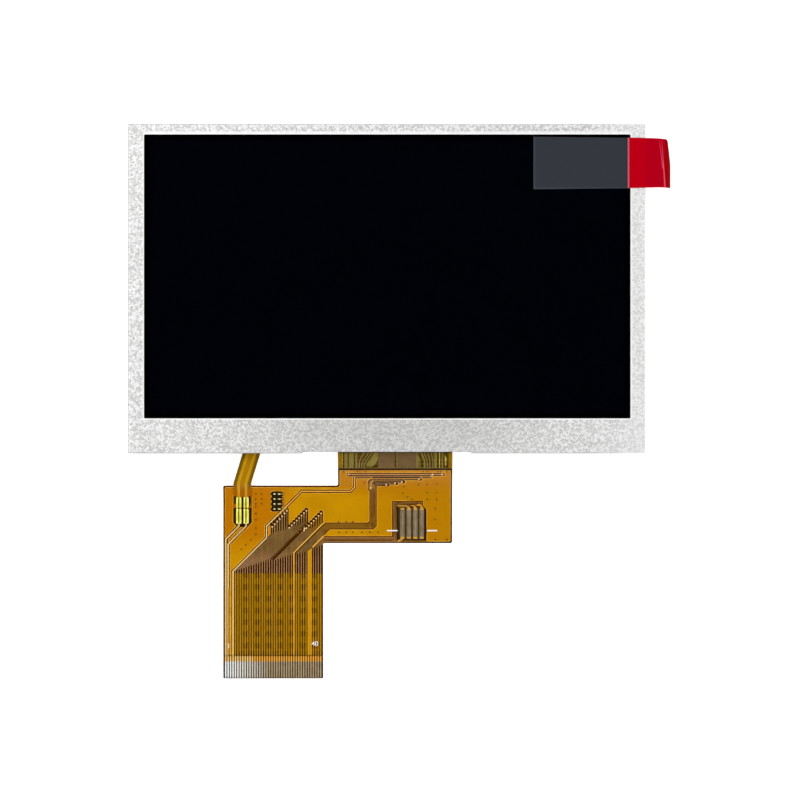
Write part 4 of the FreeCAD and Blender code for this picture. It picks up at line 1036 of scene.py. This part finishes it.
# %% Contact fingers and their lead-ins
LEAD_IN = (-76.4, -75.3)
BARE_FILM = (-79.88, LEAD_IN[0])
tail_x = (film_edge[0].x, -13.12)
# A painted reflection of the tent on the left-hand contacts, and the gold of the lead-ins.
plating = finish("nickel_gold_plating", "#B49E7C", "#A08C6A", 1.0, 0.35, 0.15, tints=[
    ((-60, -90), (-27.5, -70), 7.0, "#F6F4EC"),
    ((-60, -90), (-31.5, -70), 2.0, "#FFFFFC"),
    ((-40, LEAD_IN[0]), (0, LEAD_IN[1] + 0.2), 0.08, "#EEAE3C"),
    ((-40, LEAD_IN[0]), (-27.5, LEAD_IN[1] + 0.2), 0.08, "#F6D078")])
dress(plating, "contact_fingers")

stripe_floor = film_finish("film_between_lead_ins", "#6A2600", "#5A1E00", 1.0)
lay_piece("lead_in_floor", base_surface, [block(*tail_x, *LEAD_IN)], FLOOR_LIFT, stripe_floor)
contact_floor = film_finish("bare_film_between_fingers", "#6A5A40", "#5A4C36", 1.0, 0.3, tints=[
    ((-60, -90), (-24.5, -70), 9.0, "#16140C")])
lay_piece("finger_floor", base_surface, [block(*tail_x, *BARE_FILM)], FLOOR_LIFT, contact_floor)

FINGER_EDGE = 0.028
# A painted shade along the edge of each contact, darker on the left.
finger_edge_shade = finish("painted_shade_on_plating_edge", "#7C6A4E", "#6E5C42", 1.0, 0.35, tints=[
    ((-60, -90), (-25.5, -70), 8.0, "#34301E"),
    ((-40, LEAD_IN[0]), (0, LEAD_IN[1] + 0.2), 0.08, "#7A3604")])
finger_edges = edge_band(top_sheet("contact_fingers"), 0, FINGER_EDGE)
new_piece("finger_edges", finger_edges, finger_edge_shade)

TRACK_STOP = (-75.32, -74.98)
FIRST_STOP = 0.25
CONTACTS = 40
PITCH = 0.5
gap_centres = [tail_x[0] + FIRST_STOP + PITCH * k for k in range(CONTACTS + 1)]
stop_line = film_finish("glue_line_at_film_edge", "#2C0E00", "#200A00", 0.6, 0.3)
stop_shapes = [block(x - 0.12, x + 0.12, *TRACK_STOP) for x in gap_centres]
lay_piece("track_stops", cover_surface, stop_shapes, DOT_LIFT, stop_line)
TOOTH = (-79.86, -79.5)
tooth_dark = finish("film_beyond_fingers", "#4E4028", "#42361F", 1.0, 0.35, tints=[
    ((-60, -90), (-21, -70), 8.0, "#140E06")])
teeth = [block(x - 0.13, x + 0.13, *TOOTH) for x in gap_centres]
lay_piece("film_teeth", base_surface, teeth, LEAD_LIFT + 0.006, tooth_dark)

# %% [markdown]
# The joint of the backlight's flex is four beads of solder. Molten tin pulls itself up into a smooth
# low loaf, so each bead is a grid over its pad whose height falls off towards its sides. The flanks
# mirror the bright tent and the crest mirrors the dark opening, which draws a line along it. An olive
# painted shade along each crest makes that line stronger.

# %% Solder beads
BEAD_HEIGHT = 0.3
BEAD_ACROSS = 14
SOLDER_PAD = 1.13
BEAD_ALONG = 26


def solder_loaf(mesh, x0, x1, y0, y1, foot_z, height):
    """A low loaf on a rectangle, with a soft crest along its middle."""
    grid = []
    for j in range(BEAD_ALONG + 1):
        v = j / BEAD_ALONG * 2 - 1
        row = []
        for i in range(BEAD_ACROSS + 1):
            u = i / BEAD_ACROSS * 2 - 1
            rise = (1 - abs(u) ** 1.6) * (1 - abs(v) ** 7)
            bulge = 1 - 0.12 * abs(v) ** 4
            x = (x0 + x1) / 2 + u * bulge * (x1 - x0) / 2
            row.append(mesh.verts.new((x * MM, ((y0 + y1) / 2 + v * (y1 - y0) / 2) * MM,
                                       (foot_z + height * rise) * MM)))
        grid.append(row)
    for a, b in zip(grid, grid[1:]):
        for i in range(BEAD_ACROSS):
            mesh.faces.new((a[i], a[i + 1], b[i + 1], b[i]))
    border = grid[0] + [row[-1] for row in grid[1:]] + grid[-1][-2::-1] + [row[0] for row in grid[-2:0:-1]]
    mesh.faces.new(border[::-1])


beads = bmesh.new()
pads = top_sheet("solder_pads")
for island in islands(pads):
    corners = [vert.co * 1000 for face in island for vert in face.verts]
    xs, ys, zs = zip(*corners)
    solder_loaf(beads, min(xs), max(xs), min(ys), max(ys), min(zs) - 0.12, BEAD_HEIGHT)
pads.free()
crests = [x + math.copysign(SOLDER_PAD / 2, solder_middle - x) for x in (solder_low.x, solder_high.x)]
# A painted shade along the crest of each bead.
crest_shade_lines = [((crest - 0.16, solder_low.y + 0.1), (crest + 0.12, solder_high.y - 0.1), 0.16, "#66640A")
              for crest in crests]
solder = finish("flux_yellowed_solder", "#F6F27E", "#DCD23C", 0.9, 0.3, 0.7, bump_mm=0.01, tints=crest_shade_lines)
new_piece("solder_beads", beads, solder, "solder_pads", smooth=True)

# %% [markdown]
# The backlight's own flex is a second strip of polyimide, slanting out of the module. Its film looks
# olive against the bench, amber along its middle, where the two feed tracks lie close, and orange
# where it rests on the main flex. The stiffener under the contacts is a thick polyimide board.

# %% Backlight flex and stiffener
STRIP_LAND = (-29.65, -39.8)
STRIP_SLOPE = 1.85 / 6.0
strip_film, tree, shader = grained("polyimide_strip_film", "#765A04", "#665004", 2.0, 0.18,
                                   sockets=FILM_SHEEN)
place = add_node(tree, "ShaderNodeSeparateXYZ", {0: add_node(tree, "ShaderNodeTexCoord").outputs["Object"]})
above = add_node(tree, "ShaderNodeMath", {0: place.outputs["Y"], 1: -STRIP_LAND[1] * MM}, operation="ADD")
risen = add_node(tree, "ShaderNodeMath", {0: above.outputs[0], 1: 0.0}, operation="MAXIMUM")
middle = add_node(tree, "ShaderNodeMath", {0: risen.outputs[0], 1: STRIP_SLOPE, 2: STRIP_LAND[0] * MM},
                  operation="MULTIPLY_ADD")
offset = add_node(tree, "ShaderNodeMath", {0: place.outputs["X"], 1: middle.outputs[0]}, operation="SUBTRACT")
away = add_node(tree, "ShaderNodeMath", {0: offset.outputs[0]}, operation="ABSOLUTE")
amber = add_node(tree, "ShaderNodeMapRange", {"Value": away.outputs[0], "From Min": 1.35 * MM,
                                              "From Max": 1.0 * MM}).outputs[0]
tint(tree, shader, amber, "#A87806")
tint_regions(tree, shader, [((-34, -50), (-20, -40.6), 1.0, "#A05C06")])
dress(strip_film, "led_flex")
strip_copper = film_finish("strip_copper_under_film", "#C8921C", "#B68414", 2.0)
dress(strip_copper, "led_flex_tracks")
board = finish("polyimide_board", "#A86A10", "#96600E", 1.5, 0.4)
dress(board, "flex_stiffener")
rear_copper = finish("rear_copper_under_film", "#B07A18", "#9A6A14", 2.0, 0.4)
dress(rear_copper, "flex_rear_ground")

# %% [markdown]
# The pads for a touch panel's own flex are dull, because they wait for solder: a nickel-gold film on
# rough copper. Their ends are brighter, where the mask was opened a little further, and the tracks
# flare out into them so that no sharp corner can crack.

# %% Touch panel pads
PAD_WIDTH = 0.92
PAD_STEP = 1.32
pad_centres = [touch_low.x + PAD_WIDTH / 2 + PAD_STEP * k for k in range(4)]
pad_plating = finish("dull_gold_plating", "#8E7E60", "#766446", 1.3, 0.4, 0.2)
dress(pad_plating, "touch_panel_pads")
beyond_pads = ((touch_high.x + 0.05, touch_low.y - 1), (touch_high.x + 2, touch_high.y + 1), 0.3, "#2A1402")
well_brown = film_finish("bare_film_between_pads", "#46341C", "#382814", 1.0, 0.3, tints=[beyond_pads])
well = [(touch_low.x - 0.38, touch_low.y - 0.28), (touch_high.x + 0.38, touch_low.y - 0.28),
        (touch_high.x + 0.38, touch_high.y - 0.3), (touch_high.x - 0.22, touch_high.y + 0.28),
        (touch_low.x - 0.38, touch_high.y + 0.28)]
lay_piece("touch_pad_floor", base_surface, [well], FLOOR_LIFT, well_brown)

GOLD_END = 0.42
HOOK_TIPS = ((-0.57, 0.42), (-0.58, 0.62), (-0.27, 0.76))


def hook(x, top, reach, rise):
    """The outline of a track that swings down into the head of a pad, and widens as it does."""
    tip = (x + reach, top + rise)
    outer = eased([tip, (x + reach * 0.1 + 0.1, top + rise * 0.75), (x + 0.36, top - 0.12),
                   (x + 0.38, top - GOLD_END)])
    inner = eased([(x - 0.34, top - GOLD_END), (x - 0.28, top - 0.2),
                   (x + reach * 0.5 - 0.1, top + rise * 0.7), (tip[0], tip[1] - 0.16)])
    return outer + inner


ends = []
for k, x in enumerate(pad_centres):
    ends.append(block(x - 0.38, x + 0.38, touch_low.y, touch_low.y + GOLD_END))
    if k == 0:
        ends.append(block(x - 0.34, x + 0.34, touch_high.y - GOLD_END * 0.8, touch_high.y))
        ends.append([(x - 1.0, touch_low.y - 0.42), (x - 0.3, touch_low.y + 0.05),
                     (x + 0.25, touch_low.y + 0.05), (x - 0.1, touch_low.y - 0.35)])
        continue
    ends.append(hook(x, touch_high.y, *HOOK_TIPS[k - 1]))
bright_gold = finish("bright_gold_plating", "#F2B848", "#DC9C2C", 0.8, 0.3, 0.3)
lay_piece("touch_pad_ends", base_surface, ends, LEAD_LIFT + 0.002, bright_gold)
# A painted highlight down the middle of each pad.
shine = [block(x - 0.02, x + 0.12, touch_low.y + 0.6, touch_high.y - 0.6) for x in pad_centres]
pad_highlight = finish("painted_highlight_on_pad", "#A8987A", "#988866", 0.7, 0.35, 0.2)
lay_piece("touch_pad_highlights", base_surface, shine, LEAD_LIFT + 0.001, pad_highlight)

# %% [markdown]
# The eight test pads carry a drop of tin each, left by the probe station. Short rounded leads run out
# of the second column. A drop is a low dome, made as a few rings of points that close at the top.

# %% Test pads
DROP_HEIGHT = 0.09


def tin_drop(mesh, x, y, foot_z, radius_x, radius_y, height):
    """A low dome of tin."""
    sides = 14
    last = None
    for ring in range(4):
        angle = math.pi / 2 * ring / 4
        loop = [mesh.verts.new(((x + radius_x * math.cos(angle) * math.cos(math.tau * k / sides)) * MM,
                                (y + radius_y * math.cos(angle) * math.sin(math.tau * k / sides)) * MM,
                                (foot_z + height * math.sin(angle)) * MM)) for k in range(sides)]
        if last:
            for k in range(sides):
                mesh.faces.new((last[k], last[(k + 1) % sides], loop[(k + 1) % sides], loop[k]))
        else:
            mesh.faces.new(loop[::-1])
        last = loop
    tip = mesh.verts.new((x * MM, y * MM, (foot_z + height) * MM))
    for k in range(sides):
        mesh.faces.new((last[k], last[(k + 1) % sides], tip))


def film_height(x, y):
    """How high the base film is at a place, in millimetres."""
    return base_surface.ray_cast(Vector((x * MM, y * MM, FROM_ABOVE)), Vector((0, 0, -1)))[0].z * 1000


drops = bmesh.new()
lead_lines = []
for k, y in enumerate(test_rows):
    tin_drop(drops, test_low.x + 0.38, y, film_height(test_low.x, y) + 0.06, 0.22, 0.17, DROP_HEIGHT)
    tin_drop(drops, test_high.x - 0.32, y, film_height(test_high.x, y) + 0.06, 0.32, 0.14, DROP_HEIGHT)
    if k < 3:
        lead_lines.append(line([(test_high.x + 0.14, y), (test_high.x + 0.56, y)], 0.3))
tinned = finish("tinned_test_drop", "#F4ECB0", "#D8CC7C", 0.6, 0.3, 0.5)
new_piece("test_drops", drops, tinned, smooth=True)
pad_brown = finish("oxidised_test_pad", "#5A4C1C", "#4A3C14", 0.7, 0.4)
dress(pad_brown, "test_pads")
lead_tan = film_finish("test_lead_under_film", "#B07A48", "#9C6A3C", 0.8, 0.3)
lay_piece("test_leads", cover_surface, lead_lines, LINE_LIFT, lead_tan)

# %% [markdown]
# A track that goes on at the back of the film drops through a plated hole. The hole's rim stands up a
# little under the cover film and shows as a pale dot at the track's end, so each dot is placed from
# the end of its track, which is its highest point, or its rightmost one for a track of the neck.

# %% Plated holes at the ends of the tracks
HOLE_RIM = 0.18
TIP_TO_CENTRE = 0.157
NECK_TRACKS_FROM = -2.9
COMB_FROM, COMB_TO = -31.4, -16.6
NECK_RIMS = ((-7.82, -37.94), (9.37, -37.94), (11.3, -37.94), (9.0, -38.35))
sheet = top_sheet("flex_signal_tracks")
rims = [spot(x, y, HOLE_RIM) for x, y in NECK_RIMS]
for strand in islands(sheet):
    points = [vert.co * 1000 for face in strand for vert in face.verts]
    if not COMB_FROM < min(p.x for p in points) < COMB_TO:
        continue
    last_x = max(p.x for p in points)
    if last_x > NECK_TRACKS_FROM:
        y = [p.y for p in points if p.x > last_x - 0.02]
        rims.append(spot(last_x - TIP_TO_CENTRE, sum(y) / len(y), HOLE_RIM))
    else:
        top_y = max(p.y for p in points)
        x = [p.x for p in points if p.y > top_y - 0.02]
        rims.append(spot(sum(x) / len(x), top_y - TIP_TO_CENTRE, HOLE_RIM))
sheet.free()
rim_copper = film_finish("plated_hole_rim_under_film", "#F4D09A", "#DCB074", 0.8, 0.25)
lay_piece("hole_rims", cover_surface, rims, DOT_LIFT, rim_copper)

# %% [markdown]
# One lane of the slanting tracks is much darker than the rest: its track runs at the back of the
# film. It ends in a hole with a bright rim. A dark strip with a faint line along its middle shows it.
# In the bundles of the arm two of the gaps are darker than the others, and are drawn as lines too, and
# so are the two dark red gaps under the long track that crosses below the neck.

# %% The dark lane
LANE_FROM, LANE_TO = (-16.95, -48.95), (-23.5, -55.55)
LANE_WIDTH = 0.36
BUNDLE_HALF = 0.22
BUNDLES = ([(-2.8, -41.2), (-2.8, -47.7), (-3.6, -48.5), (-12.4, -48.5)],
           [(6.4, -43.85), (2.1, -43.85), (1.62, -44.35), (1.62, -50.9)],
           [(1.0, -51.3), (-12.9, -51.3)])
lane_dark = film_finish("film_over_bare_lane", "#3C1004", "#300A02", 1.0)
lay_piece("dark_lane", cover_surface, [line([LANE_FROM, LANE_TO], LANE_WIDTH)], STRIPE_LIFT, lane_dark)
lane_brown = film_finish("rear_track_through_film", "#5A2C0A", "#4C2408", 1.0)
lay_piece("lane_rear_track", cover_surface, [line([LANE_FROM, LANE_TO], 0.08)], OVER_STRIPE_LIFT, lane_brown)
shade_lines = []
for bundle in BUNDLES:
    both_sides = line(eased(bundle), BUNDLE_HALF * 2)
    half = len(both_sides) // 2
    shade_lines += [line(both_sides[:half], 0.1), line(both_sides[half:], 0.1)]
bundle_gap = film_finish("film_between_bundled_tracks", "#7C4E16", "#6C4210", 1.0)
lay_piece("bundle_shade_lines", cover_surface, shade_lines, STRIPE_LIFT, bundle_gap)
NECK_GAPS = ([(-7.95, -38.21), (9.05, -38.21)], [(-3.0, -38.62), (6.8, -38.62)])
NECK_GAP_WIDTH = 0.26
neck_gap_lines = [line(points, NECK_GAP_WIDTH) for points in NECK_GAPS]
lay_piece("neck_gap_lines", cover_surface, neck_gap_lines, LINE_LIFT, lane_dark)
lane_rim = film_finish("bright_hole_rim", "#FFE0A8", "#F0C888", 0.6, 0.25)
lay_piece("lane_hole_rim", cover_surface, [spot(-16.9, -49.12, 0.19)], TOP_DOT_LIFT, lane_rim)

# %% [markdown]
# Rows of tiny holes stitch the ground copper to the one behind it. Each shows as a dark red-brown
# speck of a quarter of a millimetre, drilled where there was room, so they are simply listed.

# %% Stitching holes
STITCH_RADIUS = 0.16
stitch_columns = {-26.9: (-42.0, -43.1, -44.0, -44.7, -46.0, -47.3, -49.0, -50.3),
                  -25.7: (-42.0, -43.0, -44.0)}
stitch_rows = {-49.88: (-9.79, -8.33, -6.96, -5.13, -3.49, -1.82),
               -47.70: (-9.89, -8.33, -6.96),
               -37.37: (-8.85, -5.95, -4.31, 7.43, 8.37, 10.49, 11.04, 12.27)}
stitches = [(x, y) for x, ys in stitch_columns.items() for y in ys]
stitches += [(x, y) for y, xs in stitch_rows.items() for x in xs]
stitches += [(-27.96, -51.43), (-28.97, -52.47), (-29.89, -53.37), (-4.6, -39.63), (3.48, -40.5),
             (6.5, -40.08),
             (8.25, -39.99), (10.26, -39.93), (8.25, -41.68), (10.22, -41.68), (3.30, -41.86), (4.2, -42.6),
             (5.12, -43.1), (8.29, -43.1), (10.26, -43.1), (9.93, -45.01), (9.89, -47.23), (9.97, -51.38),
             (12.31, -51.38)]
specks = [spot(x, y, STITCH_RADIUS, 8) for x, y in stitches]
speck = finish("drilled_hole_under_film", "#3E1000", "#300A00", 0.5, 0.4)
lay_piece("stitching_holes", cover_surface, specks, DOT_LIFT, speck)

# %% [markdown]
# White ink is screen-printed on the cover film: two short dashes that line up a touch panel's flex,
# and the numbers of the first and the last contact. The numbers are Blender's own plain letters,
# turned into a mesh and laid on the film.

# %% White ink
DASHES = ((0.01, 2.19), (8.25, 10.34))
DASH_Y = -49.53
DASH_WIDTH = 0.27
dashes = [block(x0, x1, DASH_Y - DASH_WIDTH / 2, DASH_Y + DASH_WIDTH / 2) for x0, x1 in DASHES]
white_ink = finish("screen_printed_white_ink", "#FBFAF4", "#EFEDE4", 0.4, 0.5)
lay_piece("ink_dashes", cover_surface, dashes, LINE_LIFT, white_ink)

NUMBER_TALL = 1.35
NUMBERS = (("1", -32.85, -73.65), ("40", -15.45, -73.2))
number_mesh = bmesh.new()
for text, x, y in NUMBERS:
    letters = bpy.data.curves.new("contact_number", "FONT")
    letters.body = text
    letters.size = NUMBER_TALL * MM
    letters.offset = 0.01 * MM
    holder = bpy.data.objects.new("contact_number", letters)
    flat = bpy.data.meshes.new_from_object(holder)
    shapes = bmesh.new()
    shapes.from_mesh(flat)
    for vert in shapes.verts:
        vert.co.x += x * MM
        vert.co.y += y * MM
    placed = bpy.data.meshes.new("contact_number_placed")
    lay_on(cover_surface, shapes, LINE_LIFT).to_mesh(placed)
    shapes.free()
    number_mesh.from_mesh(placed)
    bpy.data.objects.remove(holder)
new_piece("contact_numbers", number_mesh, white_ink)

# %% [markdown]
# Most of what makes the display work is hidden behind the screen. It still gets the finish of the
# real thing, because a narrow strip of it shows through the doorways of the bezel. White moulding and
# silvered film throw the light of the diodes back, clear acrylic carries it along, frosted and grooved
# films spread and gather it, and black tape stops it at the rim. Each is one row of a small table: two
# colours, the grain in millimetres, the roughness, what else it needs, and the nodes that it is on.

# %% Hidden pieces
HIDDEN = {
    "moulded_polycarbonate": ("#F0F0EC", "#E8E8E2", 1.0, 0.45, {"bump_mm": 0.004}, ("backlight_frame",)),
    "silvered_polyester": ("#E8E8EA", "#DCDCE0", 3.0, 0.1, {"metallic": 1.0}, ("reflector_sheet",)),
    "polished_acrylic": ("#EAF2F2", "#E2ECEC", 5.0, 0.05, {"sockets": {"Alpha": 0.35}}, ("light_guide",)),
    "frosted_polyester": ("#E6E6E2", "#DEDEDA", 0.5, 0.7, {"bump_mm": 0.002}, ("diffuser_sheet",)),
    "grooved_prism_film": ("#D0D4D8", "#C4C8CC", 0.6, 0.25, {}, ("prism_sheet_lower", "prism_sheet_upper")),
    "black_polyester_tape": ("#0C0C0C", "#080808", 1.0, 0.4, {}, ("rim_tape",)),
    "phosphor_and_moulding": ("#F2EED0", "#E8E2B8", 0.6, 0.5, {}, ("backlight_leds",)),
    "rear_polariser_film": ("#101012", "#0A0A0C", 3.0, 0.2, {}, ("rear_polariser",)),
    "ground_edge_glass": ("#141A1C", "#10161A", 5.0, 0.03, {"sockets": {"Alpha": 0.5}},
                          ("tft_glass", "colour_filter_glass")),
    "bare_silicon": ("#1E1E24", "#16161C", 1.5, 0.15, {}, ("driver_chip",)),
    "silicone_bead": ("#C8C8C0", "#BEBEB4", 0.8, 0.4, {"bump_mm": 0.01}, ("ledge_sealant",)),
    "conductive_bond_film": ("#7C6C50", "#6E6048", 0.5, 0.5, {}, ("flex_bond",)),
}
for name, (light, dark, grain_mm, roughness, options, nodes) in HIDDEN.items():
    dress(finish(name, light, dark, grain_mm, roughness, **options), *nodes)
